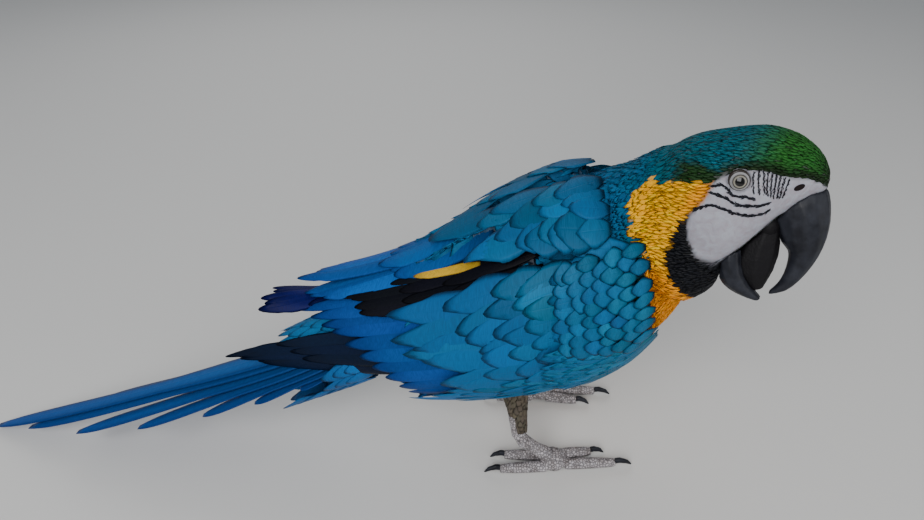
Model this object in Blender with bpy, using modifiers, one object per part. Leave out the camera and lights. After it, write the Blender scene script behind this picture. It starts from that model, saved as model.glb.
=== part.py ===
"""Blue-and-yellow macaw, life size, standing with its body level and its head turned to its right.

Units are metres. +X is the way the body faces, +Y is the bird's left, +Z is up.
Every piece is modelled round a working origin on the floor under the body's middle,
and the whole bird is moved at the end so that its box stands centred on the origin.
"""

import math

import bmesh
import bpy
from mathutils import Matrix, Vector

MM = 0.001
GAP = 0.3 * MM

# The trunk's long axis rises towards the breast.
TRUNK_PITCH = 22
# Centre x and z, half width and half height of the trunk from rump to breast, mm.
TRUNK = [
    (-100, 118, 8, 6),
    (-88, 121, 17, 14),
    (-62, 130, 31, 28),
    (-25, 142, 47, 49),
    (20, 159, 61, 66),
    (65, 177, 69, 78),
    (105, 192, 69, 77),
    (138, 208, 60, 67),
    (160, 221, 44, 52),
    (174, 229, 22, 28),
]

# The skull's middle lies between the eyes, and the head is turned and bowed from there.
HEAD_AT = Vector((184, -50, 301)) * MM
HEAD_YAW = -24
HEAD_PITCH = -8
HEAD_ROLL = -18
# Forward place, top, bottom and half width of the head in its own upright frame, mm.
HEAD = [
    (-50, 2, -24, 13),
    (-42, 12, -42, 23),
    (-28, 20.5, -58, 29),
    (-12, 28, -64, 31.5),
    (3, 34, -66, 30.5),
    (14, 35.5, -57, 28),
    (24, 34.5, -38, 24),
    (34, 31.5, -19, 20.5),
    (43, 26, -8, 16),
    (50, 18, 1, 11),
    (54, 11, 5, 6.5),
]
# The throat's loose black feathers below the jaw, in the same frame and order.
THROAT = [
    (-44, -28, -62, 10),
    (-32, -34, -84, 18),
    (-16, -40, -100, 21),
    (-2, -44, -98, 18),
    (7, -50, -90, 12),
    (13, -60, -82, 7),
]
# Neck from the breast to the back of the head: centre, yaw, pitch, half width, half height.
NECK = [
    ((120, 0, 206), -4, 26, 54, 61),
    ((136, -8, 231), -10, 38, 51, 56),
    ((148, -20, 252), -16, 42, 46, 46),
    ((158, -33, 274), -20, 34, 39, 40),
    ((170, -44, 292), -24, 0, 32, 33),
]
EYE_AT = Vector((-1, 25.8, -3)) * MM
EYE_R = 7 * MM
BODY_VOXEL = 4.5 * MM
BODY_KEPT = 0.085


# ---------------------------------------------------------------- helpers


def mm(*values):
    return Vector(values) * MM


def turn(yaw=0, pitch=0, roll=0):
    """Rotation whose +X points along yaw (about Z) and pitch (above the floor)."""
    return (
        Matrix.Rotation(math.radians(yaw), 4, "Z")
        @ Matrix.Rotation(math.radians(-pitch), 4, "Y")
        @ Matrix.Rotation(math.radians(roll), 4, "X")
    )


def station(centre, facing, half_width, half_height):
    """Matrix that carries a unit circle in the YZ plane to one section of a loft."""
    size = Matrix.Diagonal((1, half_width, half_height, 1))
    return Matrix.Translation(centre) @ facing @ size


def collection(name, hidden=False):
    made = bpy.data.collections.new(name)
    made.hide_render = hidden
    bpy.context.scene.collection.children.link(made)
    return made


def add(bm, name, finish=None, cutter=False):
    """Turns a bmesh into an object in the bird's collection, or in that of its cutters."""
    bmesh.ops.recalc_face_normals(bm, faces=bm.faces)
    mesh = bpy.data.meshes.new(name)
    bm.to_mesh(mesh)
    bm.free()
    made = bpy.data.objects.new(name, mesh)
    (CUTTERS if cutter else MACAW).objects.link(made)
    if cutter:
        made.hide_render = True
        made.display_type = "WIRE"
    else:
        mesh.shade_smooth()
        mesh.set_sharp_from_angle(angle=math.radians(50))
        mesh.materials.append(finish)
    return made


def loft(sections, sides=16):
    """Closed skin through elliptical sections: one ring is extruded and carried along."""
    bm = bmesh.new()
    upright = Matrix.Rotation(math.radians(90), 4, "Y")
    bmesh.ops.create_circle(bm, radius=1, segments=sides, matrix=sections[0] @ upright)
    ring = bm.edges[:]
    for before, after in zip(sections, sections[1:]):
        grown = bmesh.ops.extrude_edge_only(bm, edges=ring)["geom"]
        ring = [e for e in grown if isinstance(e, bmesh.types.BMEdge)]
        moved = [v for v in grown if isinstance(v, bmesh.types.BMVert)]
        bmesh.ops.transform(bm, matrix=after @ before.inverted(), verts=moved)
    bmesh.ops.holes_fill(bm, edges=[e for e in bm.edges if e.is_boundary], sides=0)
    return bm


def eased(rows, steps):
    """Catmull-Rom curve through rows of numbers, with this many steps between two rows."""
    rows = [Vector(r) for r in rows]
    ends = [2 * rows[0] - rows[1], *rows, 2 * rows[-1] - rows[-2]]
    found = []
    for a, b, c, d in zip(ends, ends[1:], ends[2:], ends[3:]):
        for k in range(steps):
            t = k / steps
            found.append(
                0.5
                * (
                    2 * b
                    + (c - a) * t
                    + (2 * a - 5 * b + 4 * c - d) * t**2
                    + (3 * b - a - 3 * c + d) * t**3
                )
            )
    return [*found, rows[-1]]


def finish(name, colour, roughness=0.6, metallic=0.0):
    made = bpy.data.materials.new(name)
    made.use_nodes = True
    shader = made.node_tree.nodes["Principled BSDF"]
    shader.inputs["Base Color"].default_value = (*colour, 1)
    shader.inputs["Roughness"].default_value = roughness
    shader.inputs["Metallic"].default_value = metallic
    return made


def applied(made):
    """The same object with its modifiers worked into its mesh."""
    graph = bpy.context.evaluated_depsgraph_get()
    old = made.data
    made.data = bpy.data.meshes.new_from_object(made.evaluated_get(graph))
    made.modifiers.clear()
    bpy.data.meshes.remove(old)
    return made


def boolean(made, other, operation="DIFFERENCE"):
    cut = made.modifiers.new(operation.title(), "BOOLEAN")
    cut.operation = operation
    cut.object = other
    cut.solver = "EXACT"
    return applied(made)


def halved(made, point, normal):
    """Keeps what lies on the normal's side of a plane, half a gap clear of it, and caps it."""
    bm = bmesh.new()
    bm.from_mesh(made.data)
    normal = Vector(normal).normalized()
    bmesh.ops.bisect_plane(
        bm,
        geom=[*bm.verts, *bm.edges, *bm.faces],
        plane_co=Vector(point) + normal * GAP / 2,
        plane_no=normal,
        clear_inner=True,
    )
    bmesh.ops.holes_fill(bm, edges=[e for e in bm.edges if e.is_boundary], sides=0)
    bmesh.ops.triangulate(bm, faces=[f for f in bm.faces if len(f.verts) > 4])
    bmesh.ops.recalc_face_normals(bm, faces=bm.faces)
    bm.to_mesh(made.data)
    bm.free()
    return made


def twin(made, name):
    """A second object with a mesh of its own."""
    other = made.copy()
    other.data = made.data.copy()
    other.name = name
    MACAW.objects.link(other)
    return other


# ---------------------------------------------------------------- body


def head_frame():
    return Matrix.Translation(HEAD_AT) @ turn(HEAD_YAW, HEAD_PITCH, HEAD_ROLL)


def trunk_loft():
    sections = [
        station(mm(x, 0, z), turn(0, TRUNK_PITCH), half_w * MM, half_h * MM)
        for x, z, half_w, half_h in eased(TRUNK, 3)
    ]
    return loft(sections, 32)


def neck_loft():
    sections = [
        station(mm(*centre), turn(yaw, pitch), half_w * MM, half_h * MM)
        for centre, yaw, pitch, half_w, half_h in NECK
    ]
    return loft(sections, 28)


def head_loft(rows, sides):
    sections = [
        head_frame()
        @ station(mm(f, 0, (top + low) / 2), Matrix(), half_w * MM, (top - low) / 2 * MM)
        for f, top, low, half_w in eased(rows, 3)
    ]
    return loft(sections, sides)


def body():
    """Trunk, neck and head flow together as one skin, which thin cuts then part."""
    whole = add(trunk_loft(), "trunk", PLUMAGE_BLUE)
    for part in (neck_loft(), head_loft(HEAD, 28), head_loft(THROAT, 20)):
        other = add(part, "joined", cutter=True)
        boolean(whole, other, "UNION")
    skin = whole.modifiers.new("Remesh", "REMESH")
    skin.mode = "VOXEL"
    skin.voxel_size = BODY_VOXEL
    soften = whole.modifiers.new("Smooth", "SMOOTH")
    soften.factor = 0.5
    soften.iterations = 6
    fewer = whole.modifiers.new("Decimate", "DECIMATE")
    fewer.ratio = BODY_KEPT
    applied(whole)

    frame = head_frame()
    jaw_line = frame @ mm(-30, 0, -40)
    jaw_facing = frame.to_3x3() @ Vector((0.75, 0, 0.66))
    collar = mm(138, -8, 230)
    collar_facing = turn(-14, 40).to_3x3() @ Vector((1, 0, 0))
    head = twin(whole, "head")
    neck = twin(whole, "neck")
    halved(head, jaw_line, jaw_facing)
    halved(neck, jaw_line, -jaw_facing)
    halved(neck, collar, collar_facing)
    halved(whole, collar, -collar_facing)
    return whole, neck, head


# Rows of the bill in the head's frame: forward and up of its ridge, of its edge, half width, mm.
UPPER_BILL = [
    ((46, 12), (18, -12), 12.5),
    ((54.7, 2.4), (27, -20.6), 15),
    ((60, -8.5), (34.5, -28), 14.5),
    ((63.2, -19), (40, -36), 12.8),
    ((64.5, -31.5), (46, -40), 10.4),
    ((63.4, -44), (48.6, -46.5), 7.6),
    ((59.8, -57), (49.6, -56), 4.9),
    ((54.5, -66.8), (48.6, -63.5), 3),
    ((46, -72.8), (46, -69.6), 1.3),
]
LOWER_BILL = [
    ((12, -34), (-4, -46), 12),
    ((19, -45), (3, -58), 14),
    ((22.5, -55), (9, -68), 14),
    ((27, -63.5), (16, -75.5), 12.5),
    ((33, -70), (25, -78.5), 10),
    ((38.5, -74.3), (33.5, -79.3), 7.5),
    ((42, -76.3), (39.5, -79.3), 5.2),
]
# Rows of the tongue: forward, up, half width, half thickness, mm.
TONGUE = [
    (28, -30, 6.5, 10),
    (28.5, -41.5, 8, 12.5),
    (29.5, -51.5, 8.2, 14),
    (32, -61.5, 7.4, 12),
    (34.8, -68.5, 5.6, 7.8),
    (36.8, -72.2, 3.8, 4.6),
]
TONGUE_PITCH = -62


def jaw(rows, sides=12):
    """A loft whose sections stand between two lines of points in the head's middle plane."""
    sections = []
    for ridge_f, ridge_u, edge_f, edge_u, half_w in eased(
        [(*ridge, *edge, half_w) for ridge, edge, half_w in rows], 2
    ):
        ridge, edge = mm(ridge_f, 0, ridge_u), mm(edge_f, 0, edge_u)
        across = ridge - edge
        facing = Matrix.Rotation(math.atan2(across.x, across.z), 4, "Y")
        sections.append(
            head_frame()
            @ station((ridge + edge) / 2, facing, half_w * MM, across.length / 2)
        )
    return loft(sections, sides)


def bill(head):
    """Two horn halves, a little apart, and the tongue that lies in the lower one."""
    upper = add(jaw(UPPER_BILL), "bill_upper", HORN_BLACK)
    lower = add(jaw(LOWER_BILL), "bill_lower", HORN_BLACK)
    frame = head_frame()

    palate = bmesh.new()
    bmesh.ops.create_uvsphere(
        palate,
        u_segments=12,
        v_segments=8,
        radius=1,
        matrix=frame @ station(mm(30, 0, -48), turn(0, -58), 9.5 * MM, 12 * MM)
        @ Matrix.Diagonal((26 * MM, 1, 1, 1)),
    )
    boolean(upper, add(palate, "palate", cutter=True))

    scoop = bmesh.new()
    bmesh.ops.create_uvsphere(
        scoop,
        u_segments=12,
        v_segments=8,
        radius=1,
        matrix=frame @ station(mm(27, 0, -54), turn(0, -56), 9.5 * MM, 11 * MM)
        @ Matrix.Diagonal((24 * MM, 1, 1, 1)),
    )
    boolean(lower, add(scoop, "scoop", cutter=True))

    clear = add(bm_of(head), "head_clear", cutter=True)
    swell(clear, GAP)
    boolean(upper, clear)
    boolean(lower, clear)

    tongue = add(
        loft(
            [
                frame @ station(mm(f, 0, u), turn(0, TONGUE_PITCH), w * MM, h * MM)
                for f, u, w, h in TONGUE
            ],
            8,
        ),
        "tongue",
        TONGUE_BLACK,
    )
    boolean(tongue, clear)
    less(tongue, upper, lower, gap=3 * GAP)
    return upper, lower, tongue


def bm_of(made):
    bm = bmesh.new()
    bm.from_mesh(made.data)
    return bm


def swell(made, by):
    """Moves a mesh outwards along its own normals."""
    grow = made.modifiers.new("Displace", "DISPLACE")
    grow.strength = by
    grow.mid_level = 0
    return applied(made)


def ball(centre, radius, name, material=None, cutter=False):
    bm = bmesh.new()
    bmesh.ops.create_uvsphere(
        bm,
        u_segments=12,
        v_segments=6,
        radius=radius,
        matrix=Matrix.Translation(centre),
    )
    return add(bm, name, material, cutter)


def eyes(head):
    """Balls set in sockets in the bare cheeks."""
    for side, name in ((-1, "right"), (1, "left")):
        centre = head_frame() @ (EYE_AT * Vector((1, side, 1)))
        ball(centre, EYE_R, "eye_" + name, EYE_PALE)
        boolean(head, ball(centre, EYE_R + GAP, "socket_" + name, cutter=True))


# ---------------------------------------------------------------- wings

# The outside of the folded wings: x, centre height, half width, half height, mm.
WINGS = [
    (176, 222, 42, 46),
    (164, 214, 60, 66),
    (130, 196, 80, 88),
    (80, 179, 87, 98),
    (30, 160, 82, 92),
    (-20, 140, 68, 78),
    (-70, 127, 54, 65),
    (-120, 117, 41, 54),
    (-165, 109, 31, 46),
    (-210, 97, 22, 36),
]
LAYER = 3.2 * MM
SHEET = 1.6 * MM


def wing_point(x, angle, depth, side):
    """Point on a wing layer: angle runs from the spine (0) round the flank to the belly (180)."""
    rows = eased(WINGS, 6)
    after = next(k for k, row in enumerate(rows) if row.x <= x or row is rows[-1])
    after = max(after, 1)
    a, b = rows[after - 1], rows[after]
    at = a.lerp(b, (x - a.x) / (b.x - a.x))
    height, half_w, half_h = (v * MM for v in at[1:])
    turned = math.radians(angle)
    across = (half_w - depth) * math.sin(turned)
    return Vector((x * MM, side * across, height + (half_h - depth) * math.cos(turned)))


def feathered_edge(v, feathers, reach):
    """How far a row's rounded feather tips stand out at v (0 to 1) along the row."""
    across = 2 * ((v * feathers) % 1) - 1 if v < 1 else 1
    return reach * math.sqrt(max(0, 1 - across**2))


class Layer:
    """One overlapping layer of a wing, laid over the body like a tile."""

    def __init__(self, name, front, back, top, low, depth, feathers, reach, cells, free=0, lift=0):
        self.name = name
        self.front, self.back = front, back
        self.top, self.low = top, low
        self.depth = depth
        self.feathers, self.reach = feathers, reach
        self.cells = cells
        self.free, self.lift = free, lift

    def build(self, side, material):
        """top, low, front and back are pairs: the value at one end and at the other."""
        along, across = self.cells
        bm = bmesh.new()
        bmesh.ops.create_grid(bm, x_segments=along, y_segments=across, size=0.5)
        for vert in bm.verts:
            u, v = vert.co.x + 0.5, vert.co.y + 0.5
            front = self.front[0] + (self.front[1] - self.front[0]) * v
            back = self.back[0] + (self.back[1] - self.back[0]) * v
            if self.feathers:
                back -= feathered_edge(v, self.feathers, self.reach)
            x = front + (back - front) * u
            top = self.top[0] + (self.top[1] - self.top[0]) * u
            low = self.low[0] + (self.low[1] - self.low[0]) * u
            angle = top + (low - top) * v
            depth = self.depth[0] + (self.depth[1] - self.depth[0]) * u
            risen = max(0, (self.free - x) / (self.free - self.back[0])) ** 1.5 * self.lift
            vert.co = wing_point(x, angle, depth * LAYER, side) + mm(0, 0, risen)
        made = add(bm, self.name, material)
        thick = made.modifiers.new("Solidify", "SOLIDIFY")
        thick.thickness = SHEET
        thick.offset = 1 if side < 0 else -1
        applied(made)
        flat = bm_of(made)
        bmesh.ops.triangulate(flat, faces=flat.faces)
        flat.to_mesh(made.data)
        flat.free()
        return made


# Each layer: name, material, front and back x at its upper and lower end, upper and lower
# angle at its front and back, depth in layers front and back, feathers, their reach, cells.
LAYERS = [
    ("scapulars", "TEAL", (101, 104), (-12, 40), (8, 12), (46, 38), (0.9, 0), 4, 12, (5, 8)),
    ("shoulder", "TEAL", (124, 152), (66, 78), (50, 52), (118, 108), (0.9, 0), 5, 8, (4, 10)),
    ("coverts", "TEAL", (98, 110), (-50, 4), (50, 42), (104, 104), (1.9, 0.8), 4, 10, (5, 8)),
    ("primary_coverts", "BLUE", (96, 124), (-6, -38), (106, 102), (128, 128), (1.9, 0.9), 3, 9, (4, 6)),
    ("tertials", "BLUE", (60, 60), (-112, -86), (10, 10), (44, 38), (1.9, 1), 3, 14, (4, 6)),
    ("secondaries", "DEEP", (30, 30), (-108, -24), (48, 42), (112, 128), (3.2, 2.3), 5, 12, (5, 10)),
    ("primaries", "VIOLET", (-24, -24), (-196, -150), (50, 34), (100, 84), (4.4, 3.4), 3, 18, (5, 6)),
]
# How much lower than the left wing the drooping right wing's edges lie, degrees.
DROOP = {
    "shoulder": ((0, 0), (26, 6)),
    "coverts": ((0, 0), (4, 8)),
    "primary_coverts": ((6, 10), (13, 12)),
    "secondaries": ((0, 0), (8, 6)),
    "primaries": ((6, 34), (10, 16)),
}


# The left wing's long tips are shorter, lie less deep, cross the back to the right and are
# carried clear of the tail: the x where they start to rise, and how high they reach, mm.
LEFT_TIPS = {
    "primaries": ((-24, -24), (-152, -138), (50, -48), (100, 14), (4.4, 3.1), -104, 17),
    "tertials": ((60, 60), (-112, -86), (10, 10), (44, 38), (1.9, 0.6), -30, 9),
}


def wings():
    """Each wing in the layers that show: primaries lie deepest and scapulars on top."""
    none = ((0, 0), (0, 0))
    for side, name in ((-1, "right"), (1, "left")):
        for kind, colour, front, back, top, low, depth, feathers, reach, cells in LAYERS:
            lower = DROOP.get(kind, none) if side < 0 else none
            top = [a + b for a, b in zip(top, lower[0])]
            low = [a + b for a, b in zip(low, lower[1])]
            free, lift = 0, 0
            if side > 0 and kind in LEFT_TIPS:
                front, back, top, low, depth, free, lift = LEFT_TIPS[kind]
            layer = Layer(
                f"{kind}_{name}", front, back, top, low, depth, feathers, reach, cells, free, lift
            )
            layer.build(side, PLUMAGE[colour])


# ---------------------------------------------------------------- tail

TAIL_ROOT = Vector((-106, 0, 118)) * MM
TAIL_YAW = 1.5
TAIL_SLOPE = 21.3
TAIL_ROLL = 12
TAIL_RISE = 3  # degrees, over the longest feather
TAIL_SPREAD = 3.9  # degrees from one pair to the next
# How far back each feather's tip reaches, from the middle pair outwards, mm.
TAIL_TIPS_RIGHT = (405, 350, 290, 232, 188, 150)
TAIL_TIPS_LEFT = (442, 352, 300, 250, 204, 160)
QUILL = 1.1 * MM
QUILL_STEP = 2.05


def tail_feather(name, way, length, width):
    """A long blade, thickest at the quill, that flattens out a little towards its tip."""
    bm = bmesh.new()
    bmesh.ops.create_grid(bm, x_segments=6, y_segments=2, size=0.5)
    for vert in bm.verts:
        u, v = vert.co.x + 0.5, vert.co.y * 2
        half = width / 2 * (0.72 + 0.28 * math.sin(math.pi * min(1, u * 1.6 + 0.2)))
        half *= math.sqrt(max(0, 1 - ((u - 0.6) / 0.4) ** 4)) if u > 0.6 else 1
        half = max(half, width * 0.12)
        lift = math.sin(math.radians(TAIL_RISE)) * (length * u) ** 2 / (350 * MM)
        vert.co = way @ Vector((length * u, half * v, lift - 0.03 * half * v * v))
    made = add(bm, name, PLUMAGE_DEEP)
    thick = made.modifiers.new("Solidify", "SOLIDIFY")
    thick.thickness = QUILL
    thick.offset = 0
    return applied(made)


def tail():
    """Twelve stepped feathers, the middle pair longest and on top, stacked like a fan."""
    frame = Matrix.Translation(TAIL_ROOT) @ turn(180 + TAIL_YAW, -TAIL_SLOPE, TAIL_ROLL)
    for side, name, tips in ((-1, "right", TAIL_TIPS_RIGHT), (1, "left", TAIL_TIPS_LEFT)):
        for pair, reach in enumerate(tips):
            stack = 2 * pair + (side < 0)
            place = mm(0, -side * (2 + 1.7 * pair), -QUILL_STEP * stack)
            way = frame @ Matrix.Translation(place) @ turn(-side * (0.5 + TAIL_SPREAD * pair), -0.3 * stack)
            length = (reach * MM + TAIL_ROOT.x) / math.cos(math.radians(TAIL_SLOPE))
            tail_feather(f"tail_{name}_{pair + 1}", way, length, (34 - 1.5 * pair) * MM)


def tail_coverts():
    """Short blue feathers that close the tail's root above and below."""
    for name, sign, back, spread in (("above", 1, -158, 66), ("below", -1, -152, 55)):
        bm = bmesh.new()
        bmesh.ops.create_grid(bm, x_segments=5, y_segments=6, size=0.5)
        for vert in bm.verts:
            u, v = vert.co.x + 0.5, vert.co.y * 2
            x = -72 + (back + 26 * v * v + 72) * u
            if sign > 0:
                centre, half_w, half_h = 133 + 0.345 * (x + 62), 37 - 17 * u, 33 - 15 * u
            else:
                centre, half_w, half_h = 124 + 0.4 * (x + 62) - 8 * u, 38 - 6 * u, 39 - 2 * u
            angle = v * math.radians(spread)
            vert.co = mm(x, half_w * math.sin(angle), centre + sign * half_h * math.cos(angle))
        made = add(bm, "tail_coverts_" + name, PLUMAGE_TEAL)
        thick = made.modifiers.new("Solidify", "SOLIDIFY")
        thick.thickness = SHEET
        thick.offset = 0
        applied(made)


# ---------------------------------------------------------------- legs

HEEL = (51, 45, 36)
SOLE = (83, 44, 10)
# Toe: start from the sole (forward, outward), way it points, its length, its claw's length.
TOES = {
    "toe_1": ((-8, -6.2), -178, 36, 15),
    "toe_2": ((6, -7.5), -8, 30, 15),
    "toe_3": ((10, 3.6), -3, 46, 18),
    "toe_4": ((-7, 6.2), 177, 42, 16),
}


def tube(points, radii, sides=10):
    """Loft along a line of points, each section square to the line."""
    points = [Vector(p) * MM for p in points]
    sections = []
    for k, (point, radius) in enumerate(zip(points, radii)):
        way = points[min(k + 1, len(points) - 1)] - points[max(k - 1, 0)]
        facing = way.to_track_quat("X", "Z").to_matrix().to_4x4()
        sections.append(station(point, facing, radius[0] * MM, radius[1] * MM))
    return loft(sections, sides)


def flat_soled(made):
    """Cuts a foot piece level with the floor, so that it stands on a small flat."""
    bm = bm_of(made)
    everything = bm.verts[:] + bm.edges[:] + bm.faces[:]
    bmesh.ops.bisect_plane(
        bm, geom=everything, plane_co=(0, 0, 0), plane_no=(0, 0, 1), clear_inner=True
    )
    bmesh.ops.holes_fill(bm, edges=[e for e in bm.edges if e.is_boundary], sides=0)
    bmesh.ops.recalc_face_normals(bm, faces=bm.faces)
    bm.to_mesh(made.data)
    bm.free()
    return made


def less(made, *others, gap=GAP):
    """Takes swelled copies of other pieces out of one piece, which leaves the gap."""
    for other in others:
        clear = add(bm_of(other), "clear_" + other.name, cutter=True)
        swell(clear, gap)
        boolean(made, clear)
    return made


def leg(side, name, ahead, trunk):
    """Feathered thigh, bare shank, sole and four toes, two of them pointing back."""
    heel = (HEEL[0] + ahead, side * HEEL[1], HEEL[2])
    thigh_line = [
        (heel[0] - 9, side * 28, 102),
        (heel[0] - 6, side * 31, 84),
        (heel[0] - 2, side * 39, 60),
        (heel[0] + 1, side * 45, 44),
    ]
    thigh = add(
        tube(thigh_line, [(13, 22), (11.5, 16), (8.5, 9.5), (6, 6)], 12),
        "thigh_" + name,
        THIGH_TAN,
    )
    less(thigh, trunk)
    shank_line = [
        (heel[0] - 1, side * 45, heel[2] + 5),
        (heel[0] + 4, side * 45, heel[2] - 3),
        (heel[0] + 15, side * 44.5, 23),
        (heel[0] + 26, side * 44, 14),
    ]
    shank = add(
        tube(shank_line, [(6, 5), (7, 6.5), (6, 5.5), (8, 6.5)], 10),
        "shank_" + name,
        SCALE_GREY,
    )
    less(shank, thigh)
    bm = bmesh.new()
    place = station(mm(SOLE[0] + ahead, side * SOLE[1], 8), Matrix(), 12.5 * MM, 8.6 * MM)
    place = place @ Matrix.Diagonal((12 * MM, 1, 1, 1))
    bmesh.ops.create_uvsphere(bm, u_segments=12, v_segments=6, radius=1, matrix=place)
    sole = flat_soled(add(bm, "sole_" + name, SCALE_GREY))
    less(sole, shank)
    for toe, ((forward, outward), yaw, length, claw) in TOES.items():
        start = mm(SOLE[0] + ahead + forward, side * (SOLE[1] + outward), 0)
        way = Matrix.Translation(start) @ turn(side * yaw)
        toe_line = [(k * length, 0, z) for k, z in ((0, 5), (0.3, 5.4), (0.66, 4.9), (1, 4.6))]
        bm = tube(toe_line, [(r, r) for r in (5, 5.4, 5, 4)], 8)
        bmesh.ops.transform(bm, matrix=way, verts=bm.verts)
        made = flat_soled(add(bm, f"{toe}_{name}", SCALE_GREY))
        less(made, sole)
        arc = [(0, 6), (0.34, 7.3), (0.74, 5), (1, 1)]
        bm = tube(
            [(length - 2 + k * claw, 0, z) for k, z in arc],
            [(r, r * 1.2) for r in (2.4, 2.4, 1.7, 0.5)],
            6,
        )
        bmesh.ops.transform(bm, matrix=way, verts=bm.verts)
        less(flat_soled(add(bm, f"claw_{toe[-1]}_{name}", CLAW_BLACK)), made)


# ---------------------------------------------------------------- run

for old in list(bpy.data.objects):
    bpy.data.objects.remove(old)
MACAW = collection("macaw")
CUTTERS = collection("cutters", hidden=True)
PLUMAGE_BLUE = finish("plumage_blue", (0.01, 0.15, 0.36))
HORN_BLACK = finish("horn_black", (0.02, 0.02, 0.025), 0.35)
TONGUE_BLACK = finish("tongue_black", (0.03, 0.025, 0.03), 0.4)
EYE_PALE = finish("eye_pale", (0.6, 0.6, 0.45), 0.1)
PLUMAGE_TEAL = finish("plumage_teal", (0.01, 0.2, 0.35))
PLUMAGE_DEEP = finish("plumage_deep_blue", (0.01, 0.08, 0.3))
PLUMAGE_VIOLET = finish("plumage_violet_black", (0.01, 0.012, 0.08))
THIGH_TAN = finish("thigh_tan", (0.3, 0.26, 0.18))
PLUMAGE = {
    "BLUE": PLUMAGE_BLUE,
    "TEAL": PLUMAGE_TEAL,
    "DEEP": PLUMAGE_DEEP,
    "VIOLET": PLUMAGE_VIOLET,
}
SCALE_GREY = finish("scale_grey", (0.2, 0.19, 0.2))
CLAW_BLACK = finish("claw_black", (0.02, 0.02, 0.02), 0.35)

TRUNK_BODY, NECK_BODY, HEAD_BODY = body()
bill(HEAD_BODY)
eyes(HEAD_BODY)
wings()
tail()
tail_coverts()
for leg_side, leg_name, leg_ahead in ((-1, "right", 0), (1, "left", -4)):
    leg(leg_side, leg_name, leg_ahead, TRUNK_BODY)

corners = [
    made.matrix_world @ Vector(corner) for made in MACAW.objects for corner in made.bound_box
]
LOW = Vector([min(c[k] for c in corners) for k in range(3)])
HIGH = Vector([max(c[k] for c in corners) for k in range(3)])
SHIFT = -Vector(((LOW.x + HIGH.x) / 2, (LOW.y + HIGH.y) / 2, LOW.z))
for made in MACAW.objects:
    made.data.transform(Matrix.Translation(SHIFT))
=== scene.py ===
"""A blue-and-yellow macaw in full plumage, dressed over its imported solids.

The bird stands with its body level, its head turned to its right and its bill parted.
Units are metres: +X is the way the body faces, +Y the bird's left, +Z up.
"""

import math

import bmesh
import bpy
import numpy as np
from mathutils import Matrix, Vector
from mathutils.bvhtree import BVHTree


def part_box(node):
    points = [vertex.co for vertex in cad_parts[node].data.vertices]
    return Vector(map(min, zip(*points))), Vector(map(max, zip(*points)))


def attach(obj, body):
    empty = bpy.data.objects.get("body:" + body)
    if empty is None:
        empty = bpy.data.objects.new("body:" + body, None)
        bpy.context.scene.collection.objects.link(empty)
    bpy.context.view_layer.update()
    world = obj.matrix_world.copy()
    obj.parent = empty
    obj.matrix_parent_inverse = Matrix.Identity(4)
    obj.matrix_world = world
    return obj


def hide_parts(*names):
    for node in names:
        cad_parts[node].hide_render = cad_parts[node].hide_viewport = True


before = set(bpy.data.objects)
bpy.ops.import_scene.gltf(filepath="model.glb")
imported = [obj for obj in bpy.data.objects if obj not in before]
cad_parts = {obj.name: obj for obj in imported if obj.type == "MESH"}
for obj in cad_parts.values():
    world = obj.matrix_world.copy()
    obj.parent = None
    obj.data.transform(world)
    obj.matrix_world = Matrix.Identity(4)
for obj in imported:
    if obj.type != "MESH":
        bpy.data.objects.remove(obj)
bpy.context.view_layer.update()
MM = 0.001
IN_MM = 1000


# ---------------------------------------------------------------- where the bird stands
# The head's own axes run forward along the crown, out to the left and up through it.
# The right eye fixes them, and the floor point under the body's middle follows from them.


def turned(yaw=0, pitch=0, roll=0):
    """Rotation whose +X points along yaw, about Z, and pitch, above the floor."""
    return (
        Matrix.Rotation(math.radians(yaw), 4, "Z")
        @ Matrix.Rotation(math.radians(-pitch), 4, "Y")
        @ Matrix.Rotation(math.radians(roll), 4, "X")
    )


EYE_IN_HEAD = Vector((-1, -25.8, -3)) * MM
HEAD_FROM_BODY = Vector((184, -50, 301)) * MM
eye_low, eye_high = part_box("eye_right")
head_turn = turned(-24, -8, -18)
head_at = (eye_low + eye_high) / 2 - head_turn.to_3x3() @ EYE_IN_HEAD
HEAD = Matrix.Translation(head_at) @ head_turn
UNDER_BODY = head_at - HEAD_FROM_BODY


def linked(name, data):
    """An object of this data, in the scene."""
    made = bpy.data.objects.new(name, data)
    bpy.context.scene.collection.objects.link(made)
    return made


CAMERA_FROM_BODY = Vector((0, -0.45, 0.5))
CAMERA_TILT = math.radians(56)
camera_data = bpy.data.cameras.new("view_from_the_right")
camera_data.lens = 26.18
camera_data.sensor_width = 36
camera_data.clip_start = 0.01
camera = linked("view_from_the_right", camera_data)
camera.location = UNDER_BODY + CAMERA_FROM_BODY
camera.rotation_euler = (CAMERA_TILT, 0, 0)
bpy.context.scene.camera = camera


# ---------------------------------------------------------------- floor and light
# A plain pale floor under soft studio light: a broad key from above and behind the
# camera's left, a weaker fill from the right and an even pale surround.


def as_mesh(bm, name):
    """A bmesh as a smooth-shaded mesh."""
    mesh = bpy.data.meshes.new(name)
    bm.to_mesh(mesh)
    bm.free()
    for polygon in mesh.polygons:
        polygon.use_smooth = True
    return mesh


FLOOR_HALF = 4
bm = bmesh.new()
bmesh.ops.create_grid(bm, x_segments=1, y_segments=1, size=FLOOR_HALF)
studio_floor = linked("studio_floor", as_mesh(bm, "studio_floor"))
floor_paint = bpy.data.materials.new("pale_floor")
floor_paint.use_nodes = True
shader = floor_paint.node_tree.nodes["Principled BSDF"]
shader.inputs["Base Color"].default_value = (0.62, 0.61, 0.59, 1)
shader.inputs["Roughness"].default_value = 0.75
studio_floor.data.materials.append(floor_paint)

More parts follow.
